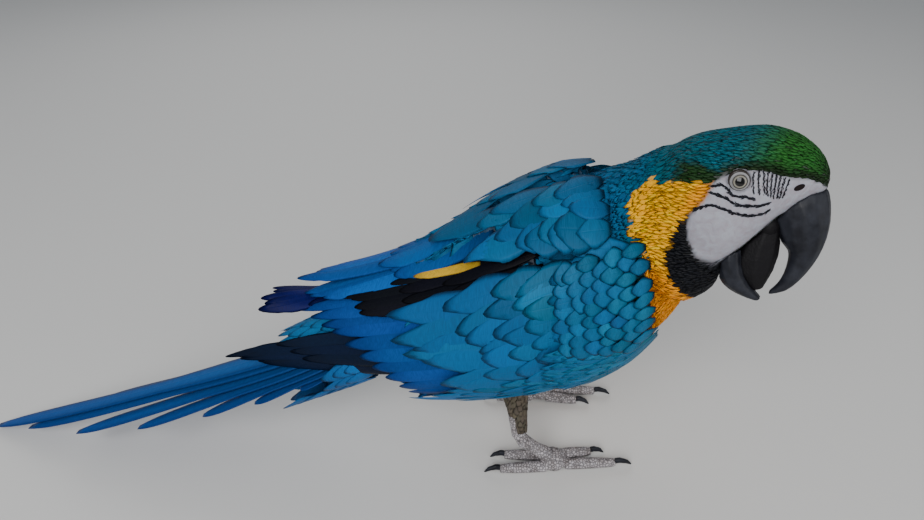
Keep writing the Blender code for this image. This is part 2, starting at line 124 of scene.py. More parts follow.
LIT_SPOT = Vector((0.1, 0, 0.15))
for lamp_name, place, size, watts in (
    ("key_light", (-0.35, -1.5, 1.25), 1.3, 36),
    ("fill_light", (1.5, -0.9, 0.8), 1.4, 10),
    ("rim_light", (-0.2, 1.5, 1.3), 1.2, 8),
):
    lamp = bpy.data.lights.new(lamp_name, "AREA")
    lamp.size = size
    lamp.energy = watts
    hung = linked(lamp_name, lamp)
    hung.location = place
    hung.rotation_euler = (LIT_SPOT - hung.location).to_track_quat("-Z", "Y").to_euler()
surround = bpy.data.worlds.new("pale_surround")
surround.use_nodes = True
sky = surround.node_tree.nodes["Background"].inputs
sky["Color"].default_value = (0.86, 0.92, 1, 1)
sky["Strength"].default_value = 0.34
bpy.context.scene.world = surround


# ---------------------------------------------------------------- skin
# One skin takes the place of every solid of flesh and fills the folded wings' thickness.
# It lies a coat's depth inside them, is bare and white on the face, and carries the
# plumage's markings everywhere else, darkened under the coat and dark blue under the wings
# as painted shade.

FLESH = ("trunk", "neck", "head", "thigh_left", "thigh_right")
WING_BULK = ("scapulars", "shoulder", "coverts", "primary_coverts", "secondaries", "tertials")
# The skin under the folded wings ends here, mm along the body; the feathers run on alone.
HULL_BACK = -66
SAME_SPOT = 0.00001


def node_mesh(name):
    """A merged copy of a solid, as a bmesh."""
    bm = bmesh.new()
    bm.from_mesh(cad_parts[name].data)
    bmesh.ops.remove_doubles(bm, verts=bm.verts, dist=SAME_SPOT)
    return bm


def hull_of(name):
    """The bulk that one folded wing layer encloses, cut off at its hind end."""
    shell = node_mesh(name)
    bm = bmesh.new()
    for vert in shell.verts:
        if vert.co.x - UNDER_BODY.x > HULL_BACK * MM:
            bm.verts.new(vert.co)
    shell.free()
    made = bmesh.ops.convex_hull(bm, input=bm.verts[:])
    spare = [g for g in made["geom_interior"] + made["geom_unused"] if isinstance(g, bmesh.types.BMVert)]
    bmesh.ops.delete(bm, geom=list(set(spare)), context="VERTS")
    return bm


def gathered(parts):
    """Several bmeshes as one mesh."""
    whole = bmesh.new()
    for part in parts:
        piece = as_mesh(part, "part")
        whole.from_mesh(piece)
        bpy.data.meshes.remove(piece)
    return as_mesh(whole, "gathered")


def placed(name, mesh, look, slot, *instead_of):
    """Puts a finished mesh in the scene, on the bird's body."""
    mesh.name = name
    mesh.materials.append(look.material)
    made = linked(name, mesh)
    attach(made, "root")
    if instead_of:
        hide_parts(*instead_of)


def remade(mesh, voxel, rounds):
    """The mesh as one even closed surface, smoothed."""
    holder = linked("holder", mesh)
    even = holder.modifiers.new("even", "REMESH")
    even.mode = "VOXEL"
    even.voxel_size = voxel
    soften = holder.modifiers.new("soften", "SMOOTH")
    soften.factor = 0.5
    soften.iterations = rounds
    graph = bpy.context.evaluated_depsgraph_get()
    graph.update()
    done = bpy.data.meshes.new_from_object(holder.evaluated_get(graph))
    bpy.data.objects.remove(holder)
    for polygon in done.polygons:
        polygon.use_smooth = True
    return done


def points_of(mesh, kind="co"):
    """Vertex places or normals as rows of numbers."""
    flat = np.zeros(len(mesh.vertices) * 3, np.float32)
    if kind == "co":
        mesh.vertices.foreach_get("co", flat)
    else:
        mesh.vertex_normals.foreach_get("vector", flat)
    return flat.reshape(-1, 3).astype(float)


def put(mesh, spots):
    """Moves a mesh's vertices to rows of places."""
    mesh.vertices.foreach_set("co", spots.astype(np.float32).ravel())


def tinted(mesh, shade):
    """Keeps a colour at each vertex for the material to read."""
    layer = mesh.attributes.new("tint", "FLOAT_COLOR", "POINT")
    rows = np.ones((len(mesh.vertices), 4), np.float32)
    rows[:, :3] = shade
    layer.data.foreach_set("color", rows.ravel())


def in_head(places):
    """Places in the head's own axes, mm: forward, to the left, up."""
    back = np.array(HEAD.inverted())
    return (places @ back[:3, :3].T + back[:3, 3]) * IN_MM


def in_body(places):
    """Places from the floor point under the body's middle, mm."""
    return (places - np.array(UNDER_BODY)) * IN_MM


def ease(low, high, value):
    """Smooth step from 0 at low to 1 at high."""
    t = np.clip((value - low) / (high - low), 0, 1)
    return t * t * (3 - 2 * t)


# The bare cheek's edge in the head's side view, forward and up from between the eyes, mm.
CHEEK = [
    (-15, -9), (-8, 0), (4, 5.5), (16, 7.5), (26, 7), (35, 9.5), (46, 9), (60, 4), (60, -30), (36, -60),
    (18, -66), (2, -66), (-8, -60), (-16, -50), (-20, -42), (-21, -33), (-17, -24), (-15, -16),
]


def beyond(outline, across, up):
    """Distance outside a closed outline, negative inside it."""
    inside = np.zeros(len(across), bool)
    nearest = np.full(len(across), 1e9)
    for (x0, y0), (x1, y1) in zip(outline, outline[1:] + outline[:1]):
        along_x, along_y = x1 - x0, y1 - y0
        t = ((across - x0) * along_x + (up - y0) * along_y) / (along_x**2 + along_y**2)
        t = np.clip(t, 0, 1)
        gap = np.hypot(across - x0 - t * along_x, up - y0 - t * along_y)
        nearest = np.minimum(nearest, gap)
        crosses = (y0 > up) != (y1 > up)
        with np.errstate(divide="ignore", invalid="ignore"):
            at = x0 + (up - y0) * along_x / (along_y if along_y else 1e-9)
        inside ^= crosses & (across < at)
    return np.where(inside, -nearest, nearest)


# Where the gold collar and the black bib lie in the same view.
COLLAR = [
    (-16, -8), (-28, -12), (-40, -15), (-54, -23), (-62, -36), (-59, -45), (-51, -58), (-42, -70),
    (-34, -84), (-22, -104), (-2, -108), (12, -98), (24, -80), (0, -40),
]
BIB = [
    (-15, -25.5), (-21, -29), (-26, -41), (-27.5, -55), (-25, -68), (-16, -80), (-4, -86), (10, -86),
    (26, -82), (26, -60), (0, -40),
]
TEAL = (0.002, 0.1, 0.135)
SKY = (0.002, 0.11, 0.26)
SHOULDER_BLUE = (0.002, 0.1, 0.19)
VENT_BLUE = (0.004, 0.08, 0.26)
GREEN = (0.018, 0.118, 0.018)
OLIVE = (0.01, 0.023, 0.007)
GOLD = (1.0, 0.46, 0.002)
ORANGE = (0.86, 0.28, 0.003)
SOOT = (0.006, 0.0065, 0.009)
CHALK = (0.3, 0.307, 0.35)
TAN = (0.1, 0.082, 0.06)


def mixed(base, over, amount):
    """One colour laid over another, by an amount for each place."""
    return base * (1 - amount[:, None]) + np.array(over) * amount[:, None]


def markings(places):
    """Colour of skin and plumage at each place, and how bare the skin is there."""
    f, s, u = in_head(places).T
    x, _, z = in_body(places).T
    side = np.abs(s)
    cheek = beyond(CHEEK, f, u)
    head_end = ease(-62, -46, f)
    spread = np.sin(f * 1.1) + np.sin(u * 1.7 + 1)

    # The crown is green in front, with a dark brow that runs back over the cheek.
    crown = mixed(np.array([TEAL]), GREEN, ease(-8, 24, f + 0.3 * side))
    brow = np.maximum(ease(10, 2, cheek + 0.5 * spread), ease(3, -3, u + 0.5 * spread) * ease(-44, -34, f))
    dark = mixed(np.array([OLIVE]), GREEN, ease(-5, -25, f) * 0.2)
    crown = mixed(crown, dark, np.maximum(ease(34, 52, f), brow))
    shade = mixed(np.array([SKY]), SHOULDER_BLUE, ease(100, 136, x + 0.2 * (z - 250)))
    shade = mixed(shade, crown, head_end)

    # Gold runs from behind the cheek down the side of the neck and over breast and belly.
    hung = u + 0.25 * np.clip(28 - side, 0, 28) * ease(-50, -65, u)
    collar = ease(0.5, -0.5, beyond(COLLAR, f, hung) + 1.2 * spread)
    belly = ease(8, -8, z - (198 + 0.25 * (x - 110))) * ease(-10, 20, x)
    gold = np.maximum(collar, belly)
    shade = mixed(shade, GOLD, gold)
    rust = np.maximum(ease(12, 3, cheek) * ease(-50, -20, u), ease(-64, -84, hung) * ease(-60, -30, f))
    shade = mixed(shade, ORANGE, 0.8 * gold * rust)
    vent = ease(25, -5, x) * ease(0, -10, z - 150)
    shade = mixed(shade, VENT_BLUE, vent)

    # A black bib borders the cheek from its hind corner and joins under the chin.
    bib = ease(1, -1, beyond(BIB, f, hung) + 0.7 * spread)
    shade = mixed(shade, SOOT, bib)

    bare = ease(0.8, -0.8, cheek) * ease(-30, -24, f) * ease(-64, -58, u)
    bare = bare * (1 - ease(15, 10, side) * ease(-15, -20, u)) * ease(-68, -65, hung)
    thigh = ease(112, 100, z) * ease(14, 22, x) * ease(112, 100, x)
    shade = mixed(shade, TAN, thigh * (1 - bare))
    shade = mixed(shade, CHALK, bare)
    return shade, bare


# The outside of the folded wings: x, centre height, half width, half height, mm.
WINGS = [
    (176, 222, 42, 46), (164, 214, 60, 66), (130, 196, 80, 88), (80, 179, 87, 98), (30, 160, 82, 92),
    (-20, 140, 68, 78), (-70, 127, 54, 65), (-120, 117, 41, 54), (-165, 109, 31, 46), (-210, 97, 22, 36),
]


def eased(rows, steps):
    """Catmull-Rom curve through rows of numbers, with this many steps between two rows."""
    rows = np.array(rows, float)
    ends = [2 * rows[0] - rows[1], *rows, 2 * rows[-1] - rows[-2]]
    found = []
    for a, b, c, d in zip(ends, ends[1:], ends[2:], ends[3:]):
        for t in np.arange(steps) / steps:
            bend = (2 * a - 5 * b + 4 * c - d) * t**2 + (3 * b - a - 3 * c + d) * t**3
            found.append((2 * b + (c - a) * t + bend) / 2)
    return np.array([*found, rows[-1]])


WING_ROWS = eased(WINGS, 6)[::-1]


def wing_form(x):
    """Centre height, half width and half height of the folded wings at x, mm."""
    return [np.interp(x, WING_ROWS[:, 0], WING_ROWS[:, k]) for k in (1, 2, 3)]


def under_wings(places):
    """Whether a place is covered by the folded wings' own feathers."""
    x, y, z = in_body(places).T
    middle, half_wide, half_high = wing_form(x)
    out = np.hypot(y / half_wide, (z - middle) / half_high)
    angle = np.degrees(np.arctan2(np.abs(y), z - middle))
    lower = np.where(y < 0, 140, 126)
    front = np.where(angle < 48, 98, 124 + 28 * (angle - 50) / np.where(y < 0, 94, 68))
    return (out > 0.82) & (angle > 14) & (angle < lower) & (x < front) & (x > -120)


# Where the thighs begin and end along the body, mm.
THIGH_BACK, THIGH_FRONT = 20, 100


def at_thigh(x, z, below):
    """Whether a spot of the body lies on a thigh, below this height."""
    return (z < below) & (x > THIGH_BACK) & (x < THIGH_FRONT)


def coat_depth(places):
    """How far the skin lies inside the solids: a feather coat's depth, or nothing where bare."""
    f = in_head(places)[:, 0]
    x, _, z = in_body(places).T
    depth = 2.6 - 1.6 * ease(-50, -30, f) + 1.2 * under_wings(places)
    depth = np.where(at_thigh(x, z, 100), 0.9, depth)
    return depth * (1 - markings(places)[1]) * MM


def tucked(places):
    """Draws skin under the folded wings in below the roots of the feathers that cover it."""
    x, y, z = in_body(places).T
    middle, half_wide, half_high = wing_form(x)
    angle = np.degrees(np.arctan2(np.abs(y) / half_wide, (z - middle) / half_high))
    out = np.hypot(y / half_wide, (z - middle) / half_high)
    on_back = np.interp(x, [-110, -60, 30, 64, 76], [5.2, 6.4, 7.2, 6.6, 3.6])
    on_flank = np.interp(x, [-110, -50, 34, 70, 98], [7.4, 9.4, 11.8, 8.6, 7.4])
    deep = np.where(angle < 44, on_back, on_flank)
    most = 1 - deep / np.sqrt(half_wide * half_high)
    pull = np.where(under_wings(places) & (out > most), most / out, 1)
    middle_at = np.stack([x, 0 * y, middle], 1)
    drawn = middle_at + (np.stack([x, y, z], 1) - middle_at) * pull[:, None]
    return np.array(UNDER_BODY) + drawn * MM


# Painted shade: under the folded wings the skin is dark blue, so gaps between the wing's feathers read as
# shadow.
UNDER_WINGS_SHADE = (0.003, 0.02, 0.05)
# How light the skin under the coat is beside its feathers: painted shade, as if shaded by the coat.
SHADED_UNDER_COAT = 0.45
SKIN_VOXEL = 2.4
bulk = [node_mesh(name) for name in FLESH]
for hand in ("right", "left"):
    bulk += [hull_of(f"{name}_{hand}") for name in WING_BULK]
skin_mesh = remade(gathered(bulk), SKIN_VOXEL * MM, 4)
places = points_of(skin_mesh)
outward = points_of(skin_mesh, "normal")
places -= outward * coat_depth(places)[:, None]
places = tucked(places)
put(skin_mesh, places)
skin_mesh.update()
skin_shade, skin_bare = markings(places)
skin_shade = mixed(skin_shade, UNDER_WINGS_SHADE, under_wings(places).astype(float))
tinted(skin_mesh, skin_shade * (SHADED_UNDER_COAT + (1 - SHADED_UNDER_COAT) * skin_bare[:, None]))


def fed(tree, node, values):
    """Sets a node's sockets, or links them where the value is another node's output."""
    for socket, value in values.items():
        if isinstance(value, bpy.types.NodeSocket):
            tree.links.new(value, node.inputs[socket])
        else:
            node.inputs[socket].default_value = value
    return node


def wired(tree, kind, values=(), **settings):
    """A new shader node, with its sockets set by number or name."""
    made = tree.nodes.new("ShaderNode" + kind)
    for key, value in settings.items():
        setattr(made, key, value)
    return fed(tree, made, dict(values))


class Nodes:
    """A material's node tree, wired a line at a time."""

    def __init__(self, name):
        self.material = bpy.data.materials.new(name)
        self.material.use_nodes = True
        self.tree = self.material.node_tree

    @property
    def where(self):
        return self.node("TexCoord").outputs["Object"]

    def node(self, kind, values=(), **settings):
        return wired(self.tree, kind, values, **settings)

    def read(self, name, output="Color"):
        return self.node("Attribute", attribute_name=name).outputs[output]

    def noise(self, scale, detail, distortion=0.0, output="Fac"):
        values = {"Vector": self.where, "Scale": scale, "Detail": detail, "Distortion": distortion}
        return self.node("TexNoise", values).outputs[output]

    def mapped(self, value, low, high, to_low, to_high):
        return self.node("MapRange", {"Value": value, 1: low, 2: high, 3: to_low, 4: to_high}).outputs[0]

    def ramp(self, value, *stops):
        """A colour for each value, between rising stops of value and colour."""
        made = self.node("ValToRGB", {"Fac": value})
        bands = made.color_ramp.elements
        bands[0].position, bands[1].position = stops[0][0], stops[-1][0]
        for position, _ in stops[1:-1]:
            bands.new(position)
        for band, (_, colour) in zip(bands, stops):
            band.color = (*colour, 1)
        return made.outputs["Color"]

    def multiplied(self, amount, first, second):
        values = {"Fac": amount, "Color1": first, "Color2": second}
        return self.node("MixRGB", values, blend_type="MULTIPLY").outputs["Color"]

    def bump(self, height, strength, distance, **over):
        values = {"Height": height, "Strength": strength, "Distance": distance, **over}
        return self.node("Bump", values).outputs["Normal"]

    def feed(self, values):
        fed(self.tree, self.tree.nodes["Principled BSDF"], values)
        return self


skin_look = Nodes("skin_and_down")
folds = skin_look.noise(190, 3, 0.8)
blush = skin_look.ramp(folds, (0.35, (0.86, 0.78, 0.78)), (0.65, (1, 1, 1)))
creases = skin_look.bump(folds, 0.5, 0.0008)
skin_look.feed({
    "Base Color": skin_look.multiplied(1.0, skin_look.read("tint"), blush),
    "Roughness": 0.6,
    "Subsurface Weight": 0.04,
    "Subsurface Scale": 0.002,
    "Normal": skin_look.bump(skin_look.noise(900, 4), 0.35, 0.0003, Normal=creases),
})
placed("skin", skin_mesh, skin_look, "body_feathers", *FLESH)


# ---------------------------------------------------------------- body feathers
# Small overlapping vanes cover the skin and lie tailward: hair-fine round the bill and eyes,
# short on the crown, broad and soft on breast and belly. Each grows from the skin.


def vane_template(along, across):
    """A lens-like vane as a closed grid: t from root to tip, v across, z the side it faces."""
    bm = bmesh.new()
    bmesh.ops.create_grid(bm, x_segments=along, y_segments=across, size=1)
    upper = bm.faces[:]
    copied = bmesh.ops.duplicate(bm, geom=upper)["geom"]
    lower = [g for g in copied if isinstance(g, bmesh.types.BMFace)]
    bmesh.ops.reverse_faces(bm, faces=lower)
    for faces, facing in ((upper, 1), (lower, -1)):
        for vert in {v for face in faces for v in face.verts}:
            rim = max(abs(vert.co.x), abs(vert.co.y)) > 0.999
            vert.co.z = 0 if rim else facing
    bmesh.ops.remove_doubles(bm, verts=bm.verts, dist=0.0001)
    bm.verts.index_update()
    spots = np.array([v.co for v in bm.verts])
    quads = np.array([[v.index for v in face.verts] for face in bm.faces])
    bm.free()
    flat, which = np.unique(np.round(spots[:, :2], 4), axis=0, return_inverse=True)
    return {
        "t": (flat[:, 0] + 1) / 2,
        "v": flat[:, 1],
        "which": which.ravel(),
        "z": spots[:, 2],
        "quads": quads,
    }


FINE = vane_template(3, 2)
SMALL = vane_template(4, 4)
BROAD = vane_template(6, 6)
FLIGHT = vane_template(16, 8)


def contour(t, v, root=0.35):
    """Where a round-tipped vane's grid points lie: along and across, as parts of its size."""
    half = root + (1 - root) * np.sin(np.pi / 2 * np.minimum(1, t / 0.55))
    half = half * (1 - 0.22 * ease(0.6, 1, t))
    return t * (1 - 0.4 * v * v * t * t), half * v


def unwrapped(places):
    """The skin's own unwrap: head, trunk and thighs each unrolled round their own axis."""
    f, s, u = in_head(places).T
    x, y, z = in_body(places).T
    on_head = f > -60
    on_thigh = at_thigh(x, z, 104)
    round_head = np.arctan2(s, u + 14) / np.pi
    round_trunk = np.arctan2(y, z - (150 + 0.4 * (x - 20))) / np.pi
    round_thigh = np.arctan2(np.abs(y) - 42, x - 60) / np.pi
    across = np.where(on_head, (f + 60) / 120, (x + 200) / 400)
    across = np.where(on_thigh, (z - 40) / 70, across)
    left = np.where(on_head, 0.72, np.where(on_thigh, 0.54, 0.02))
    wide = np.where(on_head, 0.26, np.where(on_thigh, 0.16, 0.5))
    turn = np.where(on_head, round_head, np.where(on_thigh, round_thigh * 0.5, round_trunk))
    turn = np.where(on_thigh, turn * 0.9 + np.sign(y) * 0.5, turn)
    return np.stack([left + wide * np.clip(across, 0, 1), 0.5 + 0.48 * turn], 1)


# The side of one vane's patch on the bake map.
PATCH = 0.003
# How far the two faces of a body feather stand from its middle, mm.
DOWN_THICK = 0.06
# How far apart two vanes' streaks may be drawn from the same noise, mm.
STREAK_RANGE = 37.3


def joined_vanes(name, template, thick, vanes, rng, look, slot, *instead_of):
    """Joins vanes into one piece, with their colours, vane maps and bake patches.

    Each vane holds its grid points, their outward ways and colours, its root and its size.
    """
    spots, normals, tints, roots, sizes = (np.array(part) for part in zip(*vanes))
    count, per_vane = len(spots), len(template["z"])
    which, quads = template["which"], template["quads"]
    lifted = spots[:, which] + normals[:, which] * (template["z"] * thick * MM)[None, :, None]
    mesh = bpy.data.meshes.new(name)
    faces = (quads[None] + per_vane * np.arange(count)[:, None, None]).reshape(-1, 4)
    mesh.vertices.add(count * per_vane)
    put(mesh, lifted)
    mesh.loops.add(len(faces) * 4)
    mesh.loops.foreach_set("vertex_index", faces.astype(np.int32).ravel())
    mesh.polygons.add(len(faces))
    mesh.polygons.foreach_set("loop_start", np.arange(0, len(faces) * 4, 4, dtype=np.int32))
    mesh.update(calc_edges=True)
    mesh.polygons.foreach_set("use_smooth", np.ones(len(faces), bool))
    tinted(mesh, tints[:, which].reshape(-1, 3))
    t, v = template["t"][which], template["v"][which]
    along = (t[None] * sizes[:, :1] + STREAK_RANGE * rng.random((count, 1))).ravel()
    sideways = np.tile(v, (count, 1)).ravel()
    corners = faces.ravel()
    vane = mesh.uv_layers.new(name="vane")
    vane.data.foreach_set("uv", np.stack([along, sideways], 1)[corners].astype(np.float32).ravel())
    bake = mesh.uv_layers.new(name="OFBake")
    at = unwrapped(roots)[:, None, :] + PATCH * np.stack([t - 0.5, v / 2], 1)[None]
    bake.data.foreach_set("uv", at.reshape(-1, 2)[corners].astype(np.float32).ravel())
    placed(name, mesh, look, slot, *instead_of)


barb_pattern = bpy.data.node_groups.new("barb_pattern", "ShaderNodeTree")
for socket, way, kind in (
    ("Vane", "INPUT", "Vector"), ("Bars", "INPUT", "Float"),
    ("Streak", "OUTPUT", "Float"), ("Height", "OUTPUT", "Float"),
):
    barb_pattern.interface.new_socket(socket, in_out=way, socket_type="NodeSocket" + kind)


def wire_barbs(tree):
    """Barb lines run forward and out from the quill, broken up by noise along them."""

    def reckoned(how, first, second=0.0):
        return wired(tree, "Math", {0: first, 1: second}, operation=how).outputs[0]

    given = tree.nodes.new("NodeGroupInput").outputs
    parts = wired(tree, "SeparateXYZ", {0: given["Vane"]}).outputs
    out = reckoned("ABSOLUTE", parts["Y"])
    line = reckoned("SUBTRACT", parts["X"], reckoned("MULTIPLY", out, 3.5))
    across_barbs = reckoned("MULTIPLY", line, given["Bars"])
    where = wired(tree, "CombineXYZ", {0: across_barbs, 1: reckoned("MULTIPLY", parts["Y"], 1.5)})
    noise = wired(tree, "TexNoise", {"Vector": where.outputs[0], "Scale": 1.0, "Detail": 4}).outputs[0]
    streak = wired(tree, "MapRange", {0: noise, 1: 0.35, 2: 0.68, 3: 0.0, 4: 1.0}).outputs[0]
    quill = wired(tree, "MapRange", {0: out, 1: 0.0, 2: 0.07, 3: 1.0, 4: 0.0}).outputs[0]
    taken = tree.nodes.new("NodeGroupOutput")
    fed(tree, taken, {"Streak": streak, "Height": reckoned("ADD", noise, quill)})


def feather_look(name, streak, gloss, bars, relief=0.35, shine=0.12):
    """Plumage: barbs that slant from the quill, with fine uneven streaks along them."""
    look = Nodes(name)
    vane_map = look.node("UVMap", uv_map="vane").outputs["UV"]
    barbs = look.node("Group", {"Vane": vane_map, "Bars": bars}, node_tree=barb_pattern).outputs
    return look.feed({
        "Base Color": look.multiplied(barbs["Streak"], look.read("tint"), (*[1 - streak] * 3, 1)),
        "Normal": look.bump(barbs["Height"], relief, 0.0004),
        "Roughness": gloss,
        "Specular IOR Level": shine,
    })


wire_barbs(barb_pattern)
soft_plumage = feather_look("soft_plumage", streak=0.3, gloss=0.6, bars=1.6)
fine_plumage = feather_look("fine_plumage", streak=0.35, gloss=0.5, bars=2.5, relief=0.2)

skin_tree = BVHTree.FromPolygons(
    [Vector(p) for p in places], [tuple(p.vertices) for p in skin_mesh.polygons]
)


def lie_of(places):
    """The way feathers point: back over the head, down the neck, tailward on the body."""
    f = in_head(places)[:, 0]
    x, _, z = in_body(places).T
    over_head = np.array(HEAD.to_3x3() @ Vector((-1, 0, -0.22)))
    down_neck = np.array(Vector((-0.62, 0.36, -0.7)).normalized())
    tailward = np.array(Vector((-0.93, 0, -0.37)))
    on_head = ease(-52, -26, f)[:, None]
    on_neck = ease(206, 236, z)[:, None] * ease(110, 130, x)[:, None]
    way = tailward * (1 - on_neck) + down_neck * on_neck
    way = way * (1 - on_head) + over_head * on_head
    on_thigh = (ease(112, 92, z) * ease(20, 30, x))[:, None]
    return way * (1 - on_thigh) + np.array((-0.1, 0, -1)) * on_thigh


# The side of the cells in which neighbouring roots are looked up, m, and how many spots are
# tried for each root wanted.
CELL = 0.004
TRIES = 5


def sown(mesh, apart, keep, seed):
    """Feather roots strewn over a mesh, no two nearer than apart says for their place."""
    rng = np.random.default_rng(seed)
    corners = points_of(mesh)
    mesh.calc_loop_triangles()
    tris = np.zeros(len(mesh.loop_triangles) * 3, np.int32)
    mesh.loop_triangles.foreach_get("vertices", tris)
    a, b, c = (corners[k] for k in tris.reshape(-1, 3).T)
    area = np.linalg.norm(np.cross(b - a, c - a), axis=1) / 2
    middle = (a + b + c) / 3
    wanted = np.where(keep(middle), area / (apart(middle) * MM) ** 2, 0)
    tries = int(TRIES * wanted.sum())
    picked = rng.choice(len(area), tries, p=wanted / wanted.sum())
    r1, r2 = np.sqrt(rng.random((tries, 1))), rng.random((tries, 1))
    spots = a[picked] * (1 - r1) + b[picked] * (r1 * (1 - r2)) + c[picked] * (r1 * r2)
    spots = spots[keep(spots)]
    gaps = apart(spots) * MM
    taken, kept = {}, []
    for k, (spot, gap) in enumerate(zip(spots, gaps)):
        key = tuple(int(c // CELL) for c in spot)
        reach = int(gap // CELL) + 1
        span = range(-reach, reach + 1)
        near = (
            other
            for i in span
            for j in span
            for n in span
            for other in taken.get((key[0] + i, key[1] + j, key[2] + n), ())
        )
        if all((other[0] - spot[0]) ** 2 + (other[1] - spot[1]) ** 2 + (other[2] - spot[2]) ** 2
               > gap * gap for other in near):
            taken.setdefault(key, []).append(spot)
            kept.append(k)
    return spots[kept]


def unit(rows):
    """Rows of ways, each made one long."""
    return rows / np.maximum(np.linalg.norm(rows, axis=-1, keepdims=True), 1e-9)


def draped(
    name, template, roots, length, width, heights, look, seed, slot="body_feathers", shadow=0.3, frayed=0.05
):
    """Vanes laid over the skin from their roots, each rising a little towards its tip.

    length and width are per root, mm; heights are (root, tip) above the skin, mm.
    """
    rng = np.random.default_rng(seed)
    count = len(roots)
    ground = [skin_tree.find_nearest(Vector(r)) for r in roots]
    up = unit(np.array([g[1] for g in ground]))
    way = unit(lie_of(roots))
    way = way - up * (way * up).sum(1, keepdims=True)
    across = np.cross(up, unit(way))
    swing = rng.normal(0, 0.12, count)[:, None]
    way = unit(unit(way) + across * swing)
    across = np.cross(up, way)
    along, out = contour(template["t"], template["v"])
    grown = 1 + rng.normal(0, 0.1, count)
    torn = rng.normal(0, frayed, (count, len(along))) * ease(0.6, 1, template["t"])
    reach = (length * grown)[:, None] * (along[None] + torn) * MM
    aside = (width * grown / 2)[:, None] * out[None] * MM
    flat = roots[:, None] + way[:, None] * reach[..., None] + across[:, None] * aside[..., None]
    spots, normals = np.zeros_like(flat), np.zeros_like(flat)
    for i in range(count):
        for j in range(flat.shape[1]):
            hit = skin_tree.find_nearest(Vector(flat[i, j]))
            spots[i, j], normals[i, j] = hit[0], hit[1]
    normals = unit(normals)
    low, high = (np.broadcast_to(np.asarray(h, float), (count,))[:, None] for h in heights)
    rise = low + (high - low) * along[None] ** 0.8
    rise = rise * (1 + rng.normal(0, 0.1, count))[:, None] + 0.12 * out[None] ** 2 * (-high)
    spots = spots + normals * rise[..., None] * MM
    middle = spots[:, len(template["t"]) // 2]
    colour = markings(middle)[0]
    dapple = np.exp(rng.normal(0, 0.12, count))[:, None] * np.exp(rng.normal(0, 0.03, (count, 3)))
    # Painted shade: each vane darkens towards its root, where the feathers over it shade it.
    depth = 1 - shadow * ease(0.6, 0, along)
    tints = np.clip((colour * dapple)[:, None] * depth[None, :, None], 0, 1)
    sizes = np.stack([length * grown, width * grown], 1)
    joined_vanes(name, template, DOWN_THICK, zip(spots, normals, tints, roots, sizes), rng, look, slot)


def head_zone(places):
    f = in_head(places)[:, 0]
    return (f > -52) & (markings(places)[1] < 0.4)


def head_apart(places):
    f = in_head(places)[:, 0]
    return 1.3 + 0.45 * ease(46, 10, f) + 0.55 * ease(-10, -50, f)


crown_roots = sown(skin_mesh, head_apart, head_zone, 11)
size = head_apart(crown_roots)
fluff = (markings(crown_roots)[0][:, 0] > 0.3).astype(float)
draped(
    "head_feathers", FINE, crown_roots, (4.2 + fluff) * size, 1.4 * size, (0.1, 0.55 + 0.7 * fluff),
    fine_plumage, 12, shadow=0.1, frayed=0.12,
)


def neck_zone(places):
    f = in_head(places)[:, 0]
    x, _, z = in_body(places).T
    return (f < -46) & (z > 196 + 0.3 * (150 - x)) & (x > 96) & ~under_wings(places)


def neck_apart(places):
    f = in_head(places)[:, 0]
    return 2.3 + 2.2 * ease(-56, -110, f)


neck_roots = sown(skin_mesh, neck_apart, neck_zone, 21)
size = neck_apart(neck_roots)
draped(
    "neck_feathers", SMALL, neck_roots, 4.4 * size, 1.9 * size, (0, 1.5 + 0.2 * size), soft_plumage, 22,
    shadow=0.15, frayed=0.1,
)


def trunk_zone(places):
    x, _, z = in_body(places).T
    covered = under_wings(places) | at_thigh(x, z, 104)
    return ~neck_zone(places) & (in_head(places)[:, 0] < -52) & ~covered


def trunk_apart(places):
    return 6 + 1.5 * ease(150, 90, in_body(places)[:, 0])


trunk_roots = sown(skin_mesh, trunk_apart, trunk_zone, 31)
size = trunk_apart(trunk_roots)
draped(
    "trunk_feathers", BROAD, trunk_roots, 3.6 * size, 2.1 * size, (-0.2, 2.3), soft_plumage, 32, frayed=0.07
)


def thigh_zone(places):
    x, _, z = in_body(places).T
    return at_thigh(x, z, 106) & (z > 40)


thigh_roots = sown(skin_mesh, lambda p: np.full(len(p), 3.2), thigh_zone, 41)
size = np.ones(len(thigh_roots))
draped(
    "thigh_feathers", SMALL, thigh_roots, 11 * size, 5.6 * size, (0, 1), soft_plumage, 42,
    "thigh_feathers", frayed=0.1,
)


# ---------------------------------------------------------------- face
# The cheek is bare, white and finely wrinkled, crossed by lines of tiny black feathers. The
# nostrils open in a pale strip of skin over the bill, each a flat dark disc: painted shade for
# the opening.

LINES = [
    [(-13.9, -10.5), (-9.4, -8.7), (-5.9, -9.8), (-1.9, -12.1), (3, -12.1), (7.6, -11.1), (12.6, -11.3)],
    [(-13.4, -14.9), (-9, -14.8), (-3.7, -15.7), (1.9, -17.2), (7.9, -16.7), (15.3, -14.7), (22.3, -10.2)],
    [(-19, -28.5), (-15.4, -24.9), (-10.6, -22.5), (-4.3, -22.4), (2.9, -23.1), (9.6, -22.5), (15.9, -20.9),
     (21, -17.7), (23.5, -14.6)],
]
# Short lines before the eye: the top of each and how far it runs forward and down.
LORE_TOPS = [(5.6, 4), (8.2, 5.2), (10.8, 5.9), (13.4, 6.2), (16, 6), (18.6, 6), (21.2, 5.8), (23.8, 5.4),
             (26.6, 4.8)]
LORE_RUNS = [(4.6, -12.6), (5.6, -13.4), (5.8, -13), (5, -14), (4.6, -13.8), (3.8, -14.4), (3, -13.6),
             (2, -12.8), (0.6, -11.4)]
for (f, u), (run, fall) in zip(LORE_TOPS, LORE_RUNS):
    LINES.append([(f, u), (f + run * 0.45, u + fall * 0.55), (f + run, u + fall)])


def on_cheek(f, u, side):
    """The skin's surface and its outward way at a spot of the head's side view."""
    start = HEAD @ (Vector((f, side * 70, u)) * MM)
    way = (HEAD.to_3x3() @ Vector((0, -side, 0))).normalized()
    spot, normal, _, _ = skin_tree.ray_cast(start, way)
    return spot, normal


